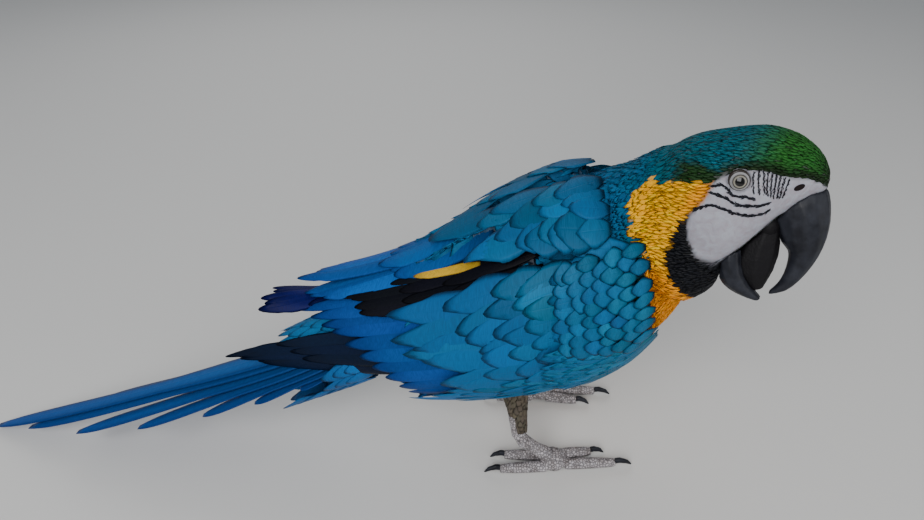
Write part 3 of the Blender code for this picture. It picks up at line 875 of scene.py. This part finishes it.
# Feathers stand this far apart along a line, and lie the way the line runs this far ahead, mm.
LINE_STEP, LINE_AHEAD = 0.24, 0.6
LINE_THICK = 0.07
line_rng = np.random.default_rng(51)
line_vanes = []
along, out = contour(FINE["t"], FINE["v"], root=0.5)
for side in (-1, 1):
    for number, line in enumerate(LINES):
        path = eased(line, 8)
        gaps = np.linalg.norm(np.diff(path, axis=0), axis=1)
        far = np.concatenate([[0], np.cumsum(gaps)])
        for step in np.arange(0, far[-1], LINE_STEP):
            (here, up), (there, _) = (
                on_cheek(np.interp(at, far, path[:, 0]), np.interp(at, far, path[:, 1]), side)
                for at in (step, step + LINE_AHEAD)
            )
            if here is None or there is None or (there - here).length < 1e-6:
                continue
            way = np.array((here - there).normalized())
            here, up = np.array(here), np.array(up)
            way = unit(way + np.cross(up, way) * line_rng.normal(0, 0.22))
            across = np.cross(up, way)
            fine = 0.6 if number > 2 else 1
            long, wide = line_rng.uniform(1.8, 3.2) * fine, line_rng.uniform(0.55, 1.05) * fine
            spots = (
                here
                + way * (along * long * MM)[:, None]
                + across * (out * wide / 2 * MM + line_rng.normal(0, 0.34) * MM)[:, None]
                + up * ((0.12 + 0.3 * along) * MM)[:, None]
            )
            rows = np.ones((len(along), 1))
            line_vanes.append((spots, up * rows, SOOT * rows, here, (long, wide)))
paler = line_rng.uniform(0.6, 3.5, (len(line_vanes), 1, 1))
line_vanes = [(*vane[:2], vane[2] * by, *vane[3:]) for vane, by in zip(line_vanes, paler)]
joined_vanes("cheek_feathers", FINE, LINE_THICK, line_vanes, line_rng, fine_plumage, "body_feathers")


def ball(name, segments, rings, radius, shape=Matrix()):
    """A ball, stretched and put in place by a matrix."""
    bm = bmesh.new()
    bmesh.ops.create_uvsphere(bm, u_segments=segments, v_segments=rings, radius=radius, matrix=shape)
    return as_mesh(bm, name)


NOSTRIL = (34.1, 2.7)
NOSTRIL_SIZE = (3.6, 2.0, 0.7)
NOSTRIL_SLANT = Vector((0.84, 0, 0.54))
# Painted shade: a dark, dull disc stands for the shadow inside each nostril.
nostril_shade_look = Nodes("nostril_opening_shade").feed(
    {"Base Color": (0.012, 0.009, 0.009, 1), "Roughness": 0.9, "Specular IOR Level": 0.05}
)
for side, hand in ((-1, "right"), (1, "left")):
    here, up = on_cheek(*NOSTRIL, side)
    slant = HEAD.to_3x3() @ NOSTRIL_SLANT
    ahead = (slant - up * slant.dot(up)).normalized()
    stand = Matrix((ahead, up.cross(ahead), up)).transposed().to_4x4()
    shape = Matrix.Translation(here) @ stand @ Matrix.Diagonal((*NOSTRIL_SIZE, 1))
    placed(f"nostril_{hand}", ball("nostril", 20, 12, MM, shape), nostril_shade_look, "body_feathers")


# ---------------------------------------------------------------- eyes
# A moist ball with a black pupil in a pale iris, held in a ring of bare lid that rises
# from the cheek and closes over the ball's edge.


def valued(mesh, name, values):
    """Keeps a number at each vertex for the material to read."""
    layer = mesh.attributes.new(name, "FLOAT", "POINT")
    layer.data.foreach_set("value", values.astype(np.float32))


EYE_RADIUS = 7
# How far each eye's line of sight leans forward and up for each unit sideways.
GAZE_AHEAD, GAZE_UP = 0.1, -0.02
LID_OPENING = 4.3
LID_FOOT = 7.6
LID_WIDTH = LID_FOOT - LID_OPENING
LID_STEPS = 8
LID_THICK = 0.5
# How far the lid stands clear of the ball, dips behind itself, swells and wrinkles, mm.
LID_CLEAR, LID_DEPTH, LID_SWELL, LID_WRINKLE = 0.35, 0.9, 0.45, 0.16
# How far its foot is sunk into the cheek, mm.
LID_SUNK = 0.15
eye_look = Nodes("eye_moist")
zones = eye_look.ramp(
    eye_look.read("gaze", "Fac"),
    (0.0, (0.002, 0.002, 0.002)),
    (0.4, (0.002, 0.002, 0.002)),
    (0.425, (0.09, 0.08, 0.07)),
    (0.46, (0.24, 0.225, 0.19)),
    (0.52, (0.3, 0.285, 0.23)),
    (0.60, (0.13, 0.115, 0.09)),
    (0.635, (0.02, 0.016, 0.014)),
    (1.0, (0.05, 0.04, 0.035)),
)
eye_look.feed({
    "Base Color": eye_look.multiplied(0.35, zones, eye_look.noise(1800, 3, output="Color")),
    "Roughness": 0.08,
    "Specular IOR Level": 0.3,
    "Coat Weight": 0.2,
    "Coat Roughness": 0.02,
})
lid_look = Nodes("lid_skin")
lid_look.feed({
    "Base Color": lid_look.ramp(
        lid_look.read("gaze", "Fac"),
        (0.0, (0.03, 0.03, 0.032)),
        (0.3, (0.32, 0.31, 0.31)),
        (0.44, (0.3, 0.295, 0.3)),
        (0.54, (0.06, 0.06, 0.065)),
        (0.66, (0.3, 0.3, 0.33)),
        (0.9, (0.38, 0.385, 0.42)),
    ),
    "Normal": lid_look.bump(lid_look.noise(1400, 3), 0.6, 0.0003),
    "Roughness": 0.5,
})

for side, hand in ((-1, "right"), (1, "left")):
    low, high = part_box(f"eye_{hand}")
    gaze = (HEAD.to_3x3() @ Vector((GAZE_AHEAD, side, GAZE_UP))).normalized()
    stand = Matrix.Translation((low + high) / 2) @ gaze.to_track_quat("Z", "Y").to_matrix().to_4x4()
    mesh = ball("eye", 48, 32, EYE_RADIUS * MM)
    valued(mesh, "gaze", np.arccos(np.clip(points_of(mesh)[:, 2] / (EYE_RADIUS * MM), -1, 1)))
    mesh.transform(stand)
    placed(f"eyeball_{hand}", mesh, eye_look, "eye", f"eye_{hand}")

    # The lid: a closed ring spun round the line of sight, its foot sunk into the cheek.
    bm = bmesh.new()
    rings = [LID_OPENING + LID_WIDTH * k / LID_STEPS for k in range(LID_STEPS + 1)]
    profile = [bm.verts.new((r * MM, 0, 0)) for r in rings]
    profile += [bm.verts.new((r * MM, 0, -LID_THICK * MM)) for r in reversed(rings)]
    edges = [bm.edges.new(pair) for pair in zip(profile, profile[1:] + profile[:1])]
    bmesh.ops.spin(
        bm, geom=profile + edges, cent=(0, 0, 0), axis=(0, 0, 1), angle=math.tau, steps=48, use_merge=True
    )
    bmesh.ops.recalc_face_normals(bm, faces=bm.faces)
    mesh = as_mesh(bm, "lid")
    spots = points_of(mesh)
    radius = np.hypot(spots[:, 0], spots[:, 1]) / MM
    share = (radius - LID_OPENING) / LID_WIDTH
    for spot, r, part in zip(spots, radius, share):
        on_ball = math.sqrt(max(EYE_RADIUS**2 - r**2, 0)) + LID_CLEAR if r < EYE_RADIUS else 0
        hit = skin_tree.ray_cast(stand @ Vector((spot[0], spot[1], 0.03)), -gaze)[0]
        cheek = (stand.inverted() @ hit).z / MM if hit else 0
        blend = ease(0.3, 1, part)
        top = on_ball * (1 - blend) + (cheek - LID_SUNK) * blend
        top += LID_SWELL * math.sin(math.pi * min(1, part * 1.3)) * (1 - blend)
        top += LID_WRINKLE * math.sin(part * 22) * (1 - part)
        spot[2] = (top - (LID_DEPTH if spot[2] < -LID_THICK / 2 * MM else 0)) * MM
    put(mesh, spots)
    valued(mesh, "gaze", share)
    mesh.transform(stand)
    placed(f"lid_{hand}", mesh, lid_look, "eye")


# ---------------------------------------------------------------- bill and tongue
# Black horn, polished by use: growth lines curve across both jaws, with fine scratches and
# paler mottling. The tongue is thick, dark and dry.

horn_look = Nodes("black_horn")
growth = horn_look.node("TexWave", {
    "Vector": horn_look.where, "Scale": 55, "Distortion": 3.5, "Detail": 3, "Detail Scale": 1.5
}).outputs["Fac"]
mottle = horn_look.noise(120, 5)
growth_lines = horn_look.bump(growth, 0.22, 0.0004)
horn_look.feed({
    "Base Color": horn_look.ramp(mottle, (0.35, (0.006, 0.0065, 0.01)), (0.75, (0.022, 0.024, 0.032))),
    "Roughness": horn_look.mapped(mottle, 0.3, 0.75, 0.34, 0.58),
    "Normal": horn_look.bump(horn_look.noise(900, 3, 2.0), 0.12, 0.0002, Normal=growth_lines),
    "Specular IOR Level": 0.2,
})
tongue_look = Nodes("tongue_dark")
papillae = tongue_look.node("TexVoronoi", {"Vector": tongue_look.where, "Scale": 700}).outputs["Distance"]
tongue_look.feed({
    "Base Color": (0.006, 0.0055, 0.0065, 1),
    "Roughness": 0.55,
    "Specular IOR Level": 0.12,
    "Normal": tongue_look.bump(papillae, 0.4, 0.0004),
})
HORN_VOXEL, HORN_SWELL = 0.8, 0.35


def dressed(node, name, voxel, rounds, by, look, slot):
    """A solid's own shape, evened out, swollen by mm and placed as a named piece."""
    mesh = remade(gathered([node_mesh(node)]), voxel * MM, rounds)
    put(mesh, points_of(mesh) + points_of(mesh, "normal") * by * MM)
    placed(name, mesh, look, slot, node)


dressed("bill_upper", "horn_bill_upper", HORN_VOXEL, 5, HORN_SWELL, horn_look, "bill")
dressed("bill_lower", "horn_bill_lower", HORN_VOXEL, 4, HORN_SWELL, horn_look, "bill")
dressed("tongue", "tongue_tip", HORN_VOXEL, 4, HORN_SWELL, tongue_look, "tongue")

# The dark lining deep in the mouth closes the corner between the halves of the bill.
LINING_AT = Vector((28.5, 0, -28))
LINING_SIZE = (8, 9, 8.5)
lining = ball(
    "mouth_lining", 24, 16, MM, HEAD @ Matrix.Translation(LINING_AT * MM) @ Matrix.Diagonal((*LINING_SIZE, 1))
)
placed("mouth_lining", lining, tongue_look, "tongue")


# ---------------------------------------------------------------- legs, toes and claws
# Stout grey legs clad in small dry scales, two toes forward and two back, and curved
# black claws of horn.

scale_look = Nodes("foot_scales")
plates = scale_look.node(
    "TexVoronoi", {"Vector": scale_look.where, "Scale": 420, "Randomness": 0.8}, feature="DISTANCE_TO_EDGE"
).outputs["Distance"]
seams = scale_look.mapped(plates, 0.0, 0.22, 0.0, 1.0)
foot_tone = scale_look.ramp(seams, (0, (0.1, 0.092, 0.096)), (1, (0.5, 0.47, 0.49)))
foot_shade = scale_look.ramp(scale_look.noise(160, 4), (0.3, (0.55, 0.52, 0.5)), (0.7, (1, 1, 1)))
scale_look.feed({
    "Base Color": scale_look.multiplied(1.0, foot_tone, foot_shade),
    "Roughness": 0.6,
    "Normal": scale_look.bump(seams, 0.8, 0.0006),
})

# The rod inside each leg that joins foot and thigh runs from heel to knee.
CORE_RADIUS = 5
HEEL, KNEE = (49, 45, 40), (45, 41, 62)
LEG_VOXEL = 1.0
CLAW_VOXEL, CLAW_SWELL = 0.6, 0.2
for side, hand in ((-1, "right"), (1, "left")):
    limbs = [f"shank_{hand}", f"sole_{hand}"] + [f"toe_{k}_{hand}" for k in range(1, 5)]
    heel, knee = (UNDER_BODY + Vector((x, side * y, z)) * MM for x, y, z in (HEEL, KNEE))
    core = bmesh.new()
    stand = (knee - heel).to_track_quat("Z", "Y").to_matrix().to_4x4()
    bmesh.ops.create_cone(
        core, cap_ends=True, segments=16, radius1=CORE_RADIUS * MM, radius2=CORE_RADIUS * MM,
        depth=(knee - heel).length, matrix=Matrix.Translation((heel + knee) / 2) @ stand,
    )
    mesh = remade(gathered([core] + [node_mesh(name) for name in limbs]), LEG_VOXEL * MM, 3)
    placed(f"scaled_leg_{hand}", mesh, scale_look, "foot_scale", *limbs)
    for k in range(1, 5):
        dressed(f"claw_{k}_{hand}", f"horn_claw_{k}_{hand}", CLAW_VOXEL, 4, CLAW_SWELL, horn_look, "claw")


# ---------------------------------------------------------------- wings
# Each folded wing is tiled from the shoulder back: small scalloped coverts, broad soft
# ones, then the long quills. Every row's tips lie over the roots of the row behind it.

# How deep one layer lies below the next, how far a feather rises from root to tip and how far
# its faces stand from its middle, mm; and a short way along a layer, as a share of it.
LAYER_STEP = 3.2
SHEET = 1.6
FEATHER_THICK = 0.14
NEARBY = 0.02
# Each layer: front and back x at its upper and lower end, upper and lower angle at its
# front and back, and how many layers deep it lies at its front and back.
LAYERS = {
    "scapulars": ((101, 104), (-12, 40), (8, 12), (46, 38), (0.9, 0)),
    "shoulder": ((124, 152), (66, 78), (50, 52), (118, 108), (0.9, 0)),
    "coverts": ((98, 110), (-50, 4), (50, 42), (104, 104), (1.9, 0.8)),
    "primary_coverts": ((96, 124), (-6, -38), (106, 102), (128, 128), (1.9, 0.9)),
    "tertials": ((60, 60), (-112, -86), (10, 10), (44, 38), (1.9, 1)),
    "secondaries": ((30, 30), (-108, -24), (48, 42), (112, 128), (3.2, 2.3)),
    "primaries": ((-24, -24), (-196, -150), (50, 34), (100, 84), (4.4, 3.4)),
}
# The left wing's long tips lie less deep, cross to the right and rise clear of the tail, from
# this x, this far.
LEFT_TIPS = {
    "primaries": ((-24, -24), (-152, -138), (50, -48), (100, 14), (4.4, 3.1), -104, 17),
    "tertials": ((60, 60), (-112, -86), (10, 10), (44, 38), (1.9, 0.6), -30, 9),
}
# How far each layer's feather tips reach past its back edge, mm.
REACH = {"scapulars": 12, "shoulder": 8, "coverts": 10, "primary_coverts": 9, "tertials": 14,
         "secondaries": 12, "primaries": 17}
# How much lower than the left wing the drooping right wing's edges lie, degrees.
DROOP = {
    "shoulder": ((0, 0), (26, 6)),
    "coverts": ((0, 0), (4, 8)),
    "primary_coverts": ((6, 10), (13, 12)),
    "secondaries": ((0, 0), (8, 6)),
    "primaries": ((6, 34), (10, 16)),
}
LEVEL = ((0, 0), (0, 0))


def between(ends, share):
    """The value at a share of the way from one end to the other."""
    return ends[0] + (ends[1] - ends[0]) * share


def on_wing(kind, side, p, q):
    """x, angle and depth, mm, at p from a layer's front to its back and q down its width."""
    front, back, top, low, deep = (LEFT_TIPS if side > 0 and kind in LEFT_TIPS else LAYERS)[kind][:5]
    drop = DROOP.get(kind, LEVEL) if side < 0 else LEVEL
    upper, under = (between(np.add(edge, lower), p) for edge, lower in zip((top, low), drop))
    x = between((between(front, q), between(back, q)), p)
    return x, between((upper, under), q), LAYER_STEP * between(deep, np.clip(p, 0, 1))


def wing_place(side, x, angle, depth):
    """The place in space of a spot on a wing."""
    middle, half_wide, half_high = wing_form(x)
    turn = np.radians(angle)
    y = side * (half_wide - depth) * np.sin(turn)
    z = middle + (half_high - depth) * np.cos(turn)
    return np.array(UNDER_BODY) + np.stack([x, y, z], -1) * MM


def outward_at(side, x, angle, depth):
    """The way out from a wing's surface at a spot of it."""
    ahead = wing_place(side, x + 1, angle, depth) - wing_place(side, x - 1, angle, depth)
    down = wing_place(side, x, angle + 1, depth) - wing_place(side, x, angle - 1, depth)
    return unit(np.cross(ahead, down) * -side)


def risen(kind, side, x):
    """How far a left wing's long feathers are carried up at x."""
    if side < 0 or kind not in LEFT_TIPS:
        return 0 * x
    back, free, lift = LEFT_TIPS[kind][1][0], *LEFT_TIPS[kind][5:]
    return np.maximum(0, (free - x) / (free - back)) ** 1.5 * lift


def tract(name, kind, side, rows, colours, seed, look, template, slot="body_feathers", skew=0.0,
          vane=contour, spread=0.1, raise_by=0.0, rimmed=0.5, patchy=0.14, frayed=0.0, shaded_root=0.5,
          lift=1.0):
    """Rows of feathers over one layer. A row: root p, tip p, width, count, from q, to q.

    colours are those of the front, the back and the vanes' rims.
    """
    rng = np.random.default_rng(seed)
    t, v = template["t"], template["v"]
    along, out = vane(t, v)
    first, last, edge = (np.array(colour) for colour in colours)
    sheet = SHEET * lift
    vanes = []
    for number, (start, tip, width, count, q_from, q_to) in enumerate(rows):
        for k in range(count):
            stagger = 0.5 * (number % 2) if count > 4 else 0.25 * (number % 2)
            q = q_from + (q_to - q_from) * (k + 0.25 + stagger + rng.normal(0, spread)) / count
            x0, a0, d0 = on_wing(kind, side, start, q)
            run = abs(on_wing(kind, side, start + NEARBY, q)[0] - x0) / NEARBY
            length = ((tip - start) * run + (REACH[kind] if tip == 1 else 0)) * (1 + rng.normal(0, spread / 2))
            _, half_wide, half_high = wing_form(x0)
            turn = math.radians(a0)
            per_degree = math.hypot(half_wide * math.cos(turn), half_high * math.sin(turn)) * math.pi / 180
            torn = rng.normal(0, frayed, len(t)) * ease(0.55, 1, t)
            p = start + rng.normal(0, 0.006) + (along + torn) * length / run
            tilt = skew + rng.normal(0, spread * 0.5)
            grown = width * (1 + rng.normal(0, spread / 2))
            drift = (out * grown / 2 + tilt * along * length) / per_degree
            x, angle, depth = on_wing(kind, side, p, q)
            angle = angle + drift
            depth = depth - sheet + sheet * (1 - along) ** 1.3 - raise_by + (0.1 + 0.4 * lift) * out**2
            depth = depth - 0.3 * lift * out - rng.uniform(0, 0.5) * along * lift
            spots = wing_place(side, x, angle, depth)
            spots[:, 2] += risen(kind, side, x) * MM
            base = first * (1 - start) + last * start
            base = base * math.exp(rng.normal(0, patchy)) * np.exp(rng.normal(0, 0.05, 3))
            rim = ease(0.72, 1.0, np.maximum(np.abs(v), t))[:, None] * rimmed
            # Painted shade: each vane darkens towards its root, under the row that covers it.
            root_shading = shaded_root + (1 - shaded_root) * ease(0, 0.55, t)[:, None]
            tints = np.clip((base * (1 - rim) + edge * rim) * root_shading, 0, 1)
            up, root = outward_at(side, x, angle, depth), wing_place(side, x0, a0, d0)
            vanes.append((spots, up, tints, root, (length, grown)))
    node = name.replace("feathers_", "")
    joined_vanes(
        name, template, FEATHER_THICK, vanes, rng, look, slot, *([node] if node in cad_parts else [])
    )


def quill_vane(t, v):
    """A long vane with even sides and a rounded tip."""
    half = (0.45 + 0.55 * ease(0, 0.3, t)) * (1 - 0.25 * ease(0.75, 1, t))
    return t * (1 - 0.13 * v * v * ease(0.7, 1, t)), half * v


quill_plumage = feather_look("quill_plumage", streak=0.3, gloss=0.42, bars=1.2, relief=0.3, shine=0.06)
wing_plumage = feather_look("wing_plumage", streak=0.28, gloss=0.5, bars=1.5)
QUILLS = {"look": quill_plumage, "template": FLIGHT, "vane": quill_vane}
COVERTS = {"look": wing_plumage, "template": BROAD}

SCAPULAR_ROWS = [(0, 0.36, 25, 4, 0, 1), (0.13, 0.52, 28, 4, 0, 1), (0.28, 0.68, 29, 4, 0, 1),
                 (0.44, 0.85, 28, 4, 0, 1), (0.6, 1, 27, 3, 0.05, 1)]
LESSER_ROWS = [(-0.04 + 0.14 * k, 0.24 + 0.14 * k, 13 + 0.8 * k, 7, 0, 0.64) for k in range(7)]
MARGINAL_ROWS = [(-0.06 + 0.1 * k, 0.34 + 0.1 * k, 7.5, 12, 0.56, 1.04) for k in range(10)]
COVERT_ROWS = {
    "right": [(-0.14, 0.18, 24, 7, 0, 1), (-0.02, 0.32, 26, 7, 0, 1), (0.1, 0.45, 28, 7, 0.02, 1),
              (0.24, 0.61, 30, 7, 0.04, 1), (0.38, 0.79, 31, 6, 0.06, 1), (0.54, 1, 31, 7, 0.08, 1)],
    "left": [(-0.02, 0.18, 24, 7, 0, 1), (0, 0.32, 26, 9, -0.18, 1), (0.1, 0.45, 28, 9, -0.22, 1),
             (0.24, 0.61, 30, 9, -0.2, 1), (0.38, 0.79, 31, 8, -0.18, 1), (0.54, 1, 31, 8, -0.1, 1)],
}
PRIMARY_COVERT_ROWS = [(0, 0.3, 12, 5, 0, 1), (0.14, 0.46, 13, 5, 0, 1), (0.3, 0.64, 14, 5, 0, 1),
                       (0.46, 0.84, 15, 4, 0, 1), (0.6, 1, 15, 4, 0, 1)]
TERTIAL_ROWS = {"right": [(0.22, 0.7, 26, 3, -0.32, 0.46), (0.42, 1, 27, 3, -0.32, 0.46)],
                "left": [(0.22, 0.7, 30, 4, -0.5, 0.9), (0.42, 1, 30, 4, -0.5, 0.9)]}
SECONDARY_ROWS = [(0, 1, 26, 10, -0.2, 1)]
PRIMARY_ROWS = {"right": [(0, 0.78, 22, 3, 0, 0.9), (0.1, 1, 23, 5, 0.02, 1)],
                "left": [(0, 0.8, 30, 3, 0, 0.9), (0.14, 1, 30, 5, 0.02, 1)]}
# The right wing's primaries are given a darker blue than the left's as painted shade: they lie in the body's
# shadow.
PRIMARY_TINTS = {"right": ((0.004, 0.01, 0.03), (0.004, 0.012, 0.04), (0.003, 0.006, 0.015)),
                 "left": ((0.004, 0.006, 0.06), (0.01, 0.016, 0.3), (0.003, 0.004, 0.04))}
# Under the right wing's loosened tertials near-black vanes fill the gap as painted shade, with one golden
# vane.
SHADE_ROWS = [(0.24, 0.74, 15, 3, 0.4, 1.3), (0.4, 0.98, 17, 4, 0.4, 1.3), (0.02, 0.5, 13, 2, 0.86, 1.3)]
GLEAM_ROWS = [(0.3, 0.64, 10, 1, 0.72, 0.88)]

for side, hand in ((-1, "right"), (1, "left")):
    tract(f"feathers_primaries_{hand}", "primaries", side, PRIMARY_ROWS[hand], PRIMARY_TINTS[hand],
          71, slot="flight_feathers", **QUILLS, spread=0.03, rimmed=0.8)
    tract(f"feathers_secondaries_{hand}", "secondaries", side, SECONDARY_ROWS,
          ((0.002, 0.06, 0.27), (0.002, 0.038, 0.25), (0.002, 0.018, 0.11)),
          72, slot="flight_feathers", **QUILLS, spread=0.03, rimmed=0.6)
    tract(f"feathers_tertials_{hand}", "tertials", side, TERTIAL_ROWS[hand],
          ((0.003, 0.1, 0.31), (0.002, 0.07, 0.36), (0.002, 0.035, 0.2)),
          73, **QUILLS, spread=0.04)
    tract(f"feathers_primary_coverts_{hand}", "primary_coverts", side, PRIMARY_COVERT_ROWS,
          ((0.003, 0.15, 0.3), (0.003, 0.09, 0.3), (0.002, 0.07, 0.2)),
          74, **COVERTS, skew=-0.1, rimmed=0.2, frayed=0.015, shaded_root=0.7)
    tract(f"feathers_coverts_{hand}", "coverts", side, COVERT_ROWS[hand],
          ((0.003, 0.11, 0.25), (0.003, 0.09, 0.26), (0.002, 0.07, 0.2)),
          75, **COVERTS, spread=0.18, rimmed=0.12, patchy=0.12, frayed=0.015, shaded_root=0.8,
          lift=0.45)
    tract(f"feathers_shoulder_{hand}", "shoulder", side, LESSER_ROWS,
          ((0.004, 0.12, 0.24), (0.004, 0.11, 0.25), (0.002, 0.025, 0.07)),
          76, **COVERTS, raise_by=0.3, rimmed=0.75, spread=0.14)
    tract(f"feathers_marginal_{hand}", "shoulder", side, MARGINAL_ROWS,
          ((0.003, 0.12, 0.22), (0.003, 0.11, 0.25), (0.002, 0.07, 0.16)),
          78, **COVERTS, raise_by=0.1, rimmed=0.2, spread=0.14, skew=0.3, frayed=0.02, shaded_root=0.8,
          lift=0.45)
    tract(f"feathers_scapulars_{hand}", "scapulars", side, SCAPULAR_ROWS,
          ((0.003, 0.1, 0.22), (0.003, 0.11, 0.28), (0.002, 0.07, 0.2)),
          77, **COVERTS, skew=0.05, spread=0.24, rimmed=0.3, patchy=0.2, frayed=0.02, shaded_root=0.6)
# Painted shade: near-black vanes in the gap under the loosened tertials.
tract("shadow_gap_vanes", "tertials", -1, SHADE_ROWS,
      ((0.004, 0.004, 0.007), (0.005, 0.006, 0.012), (0.003, 0.003, 0.004)),
      79, **QUILLS, spread=0.03, raise_by=-0.6)
tract("golden_vane", "tertials", -1, GLEAM_ROWS,
      ((0.7, 0.42, 0.03), (0.6, 0.33, 0.02), (0.16, 0.1, 0.03)),
      80, **QUILLS, spread=0.03, raise_by=0.2, skew=-0.2)


# ---------------------------------------------------------------- tail
# Twelve stepped quills, the middle pair longest and on top, closed like a flat fan, with
# short coverts over and under their roots.

TAIL_ROOT = Vector((-106, 0, 118)) * MM
TAIL_YAW, TAIL_SLOPE, TAIL_ROLL, TAIL_RISE, TAIL_SPREAD = 1.5, 21.3, 12, 3, 3.9
TAIL_TIPS = {"right": (405, 350, 290, 232, 188, 150), "left": (442, 352, 300, 250, 204, 160)}
QUILL_STEP = 2.05
QUILL_THICK = 0.4
# The middle pair's width and how much narrower each next pair is; how far the first quill's
# root and each next one's lie aside, mm; how much steeper each next one down runs, degrees.
QUILL_WIDTH, QUILL_NARROWS = 34, 1.5
QUILL_ASIDE, QUILL_APART = 2, 1.7
QUILL_TILT = 0.3
TAIL_FRONT, TAIL_BACK, TAIL_EDGE = (0.003, 0.11, 0.36), (0.004, 0.075, 0.32), (0.006, 0.02, 0.1)
LONG = vane_template(36, 8)


def tail_vane(way, length, width):
    """A tail quill's grid points, bowed up a little towards the tip, and their outward ways."""
    t, v = LONG["t"], LONG["v"]
    half = width / 2 * (0.72 + 0.28 * np.sin(np.pi * np.minimum(1, t * 1.6 + 0.2)))
    taper = np.sqrt(np.clip(1 - ((np.maximum(t, 0.6) - 0.6) / 0.4) ** 4, 0, 1))
    half = np.maximum(half * taper, width * 0.1)
    lift = math.sin(math.radians(TAIL_RISE)) * (length * t) ** 2 / 0.35
    flat = np.stack([length * t, half * v, lift - 0.05 * half * v * v], 1)
    turn = np.array(way)
    return flat @ turn[:3, :3].T + turn[:3, 3], np.tile(turn[:3, 2], (len(t), 1))


tail_frame = Matrix.Translation(UNDER_BODY + TAIL_ROOT) @ turned(180 + TAIL_YAW, -TAIL_SLOPE, TAIL_ROLL)
for side, hand in ((-1, "right"), (1, "left")):
    for pair, reach in enumerate(TAIL_TIPS[hand]):
        rng = np.random.default_rng(90 + pair)
        stack = 2 * pair + (side < 0)
        shift = Vector((0, -side * (QUILL_ASIDE + QUILL_APART * pair), -QUILL_STEP * stack)) * MM
        fanned = turned(-side * (0.5 + TAIL_SPREAD * pair), -QUILL_TILT * stack)
        way = tail_frame @ Matrix.Translation(shift) @ fanned
        length = (reach * MM + TAIL_ROOT.x) / math.cos(math.radians(TAIL_SLOPE))
        width = (QUILL_WIDTH - QUILL_NARROWS * pair) * MM
        spots, up = tail_vane(way, length, width)
        t, v = LONG["t"], LONG["v"]
        tint = mixed(np.array([TAIL_FRONT]), TAIL_BACK, t)
        tint = mixed(tint, TAIL_EDGE, ease(0.35, 0.95, np.abs(v)) * 0.75)
        vane = (spots, up, tint, spots[0], (length * IN_MM, width * IN_MM))
        joined_vanes(
            f"quill_tail_{hand}_{pair + 1}", LONG, QUILL_THICK, [vane], rng, quill_plumage, "flight_feathers",
            f"tail_{hand}_{pair + 1}",
        )


TAIL_COVERT_ROWS = 7
# The coverts' tube: its front end, its length, and the length its feathers are measured by, mm.
TUBE_FRONT, TUBE_LONG, TUBE_LAID = -72, 84, 86


def tail_covert_rows(name, above, seed):
    """Feathers laid on the covert's tube: rows from the rump back over the quills' roots."""
    rng = np.random.default_rng(seed)
    sign = 1 if above else -1
    t, v = BROAD["t"], BROAD["v"]
    along, out = contour(t, v)
    colour = np.array((0.005, 0.15, 0.36) if above else (0.004, 0.1, 0.3))
    vanes = []
    for row in range(TAIL_COVERT_ROWS):
        start, length, width = 0.02 + 0.1 * row, 26 + 2 * row, 15
        # The first rows below reach round to the tail's sides and close its root to the vent.
        around, wide = (9, 105) if row < 3 and not above else (5 - row % 2, 66 if above else 55)
        for k in range(around):
            where = (k - (around - 1) / 2) / (4.6 if around == 9 else 2.3)
            u = start + along * length / TUBE_LAID
            aside = np.degrees(out * width / 2 / (33 - 15 * start))
            angle = np.radians(where * wide + aside)
            x = TUBE_FRONT - TUBE_LONG * u
            middle = 133 + 0.345 * (x + 62) if above else 124 + 0.4 * (x + 62) - 8 * u
            half_w, half_h = (37 - 17 * u, 33 - 15 * u) if above else (38 - 6 * u, 39 - 2 * u)
            rise = 1.2 * along - 0.8 - 0.4 * out**2
            y = (half_w + rise) * np.sin(angle)
            z = middle + sign * (half_h + rise) * np.cos(angle)
            spots = np.array(UNDER_BODY) + np.stack([x, y, z], -1) * MM
            up = unit(np.stack([0 * angle, np.sin(angle), sign * np.cos(angle)], -1))
            base = colour * math.exp(rng.normal(0, 0.12))
            rim = 1 - 0.35 * ease(0.75, 1.0, np.maximum(np.abs(v), t))[:, None]
            # Painted shade: each covert darkens towards its root, under the row over it.
            tints = base * rim * (0.6 + 0.4 * ease(0, 0.5, t))[:, None]
            vanes.append((spots, up, tints, spots[0], (length, width)))
    node = name.replace("feathers_", "")
    joined_vanes(name, BROAD, FEATHER_THICK, vanes, rng, wing_plumage, "body_feathers", node)


tail_covert_rows("feathers_tail_coverts_above", True, 81)
tail_covert_rows("feathers_tail_coverts_below", False, 82)
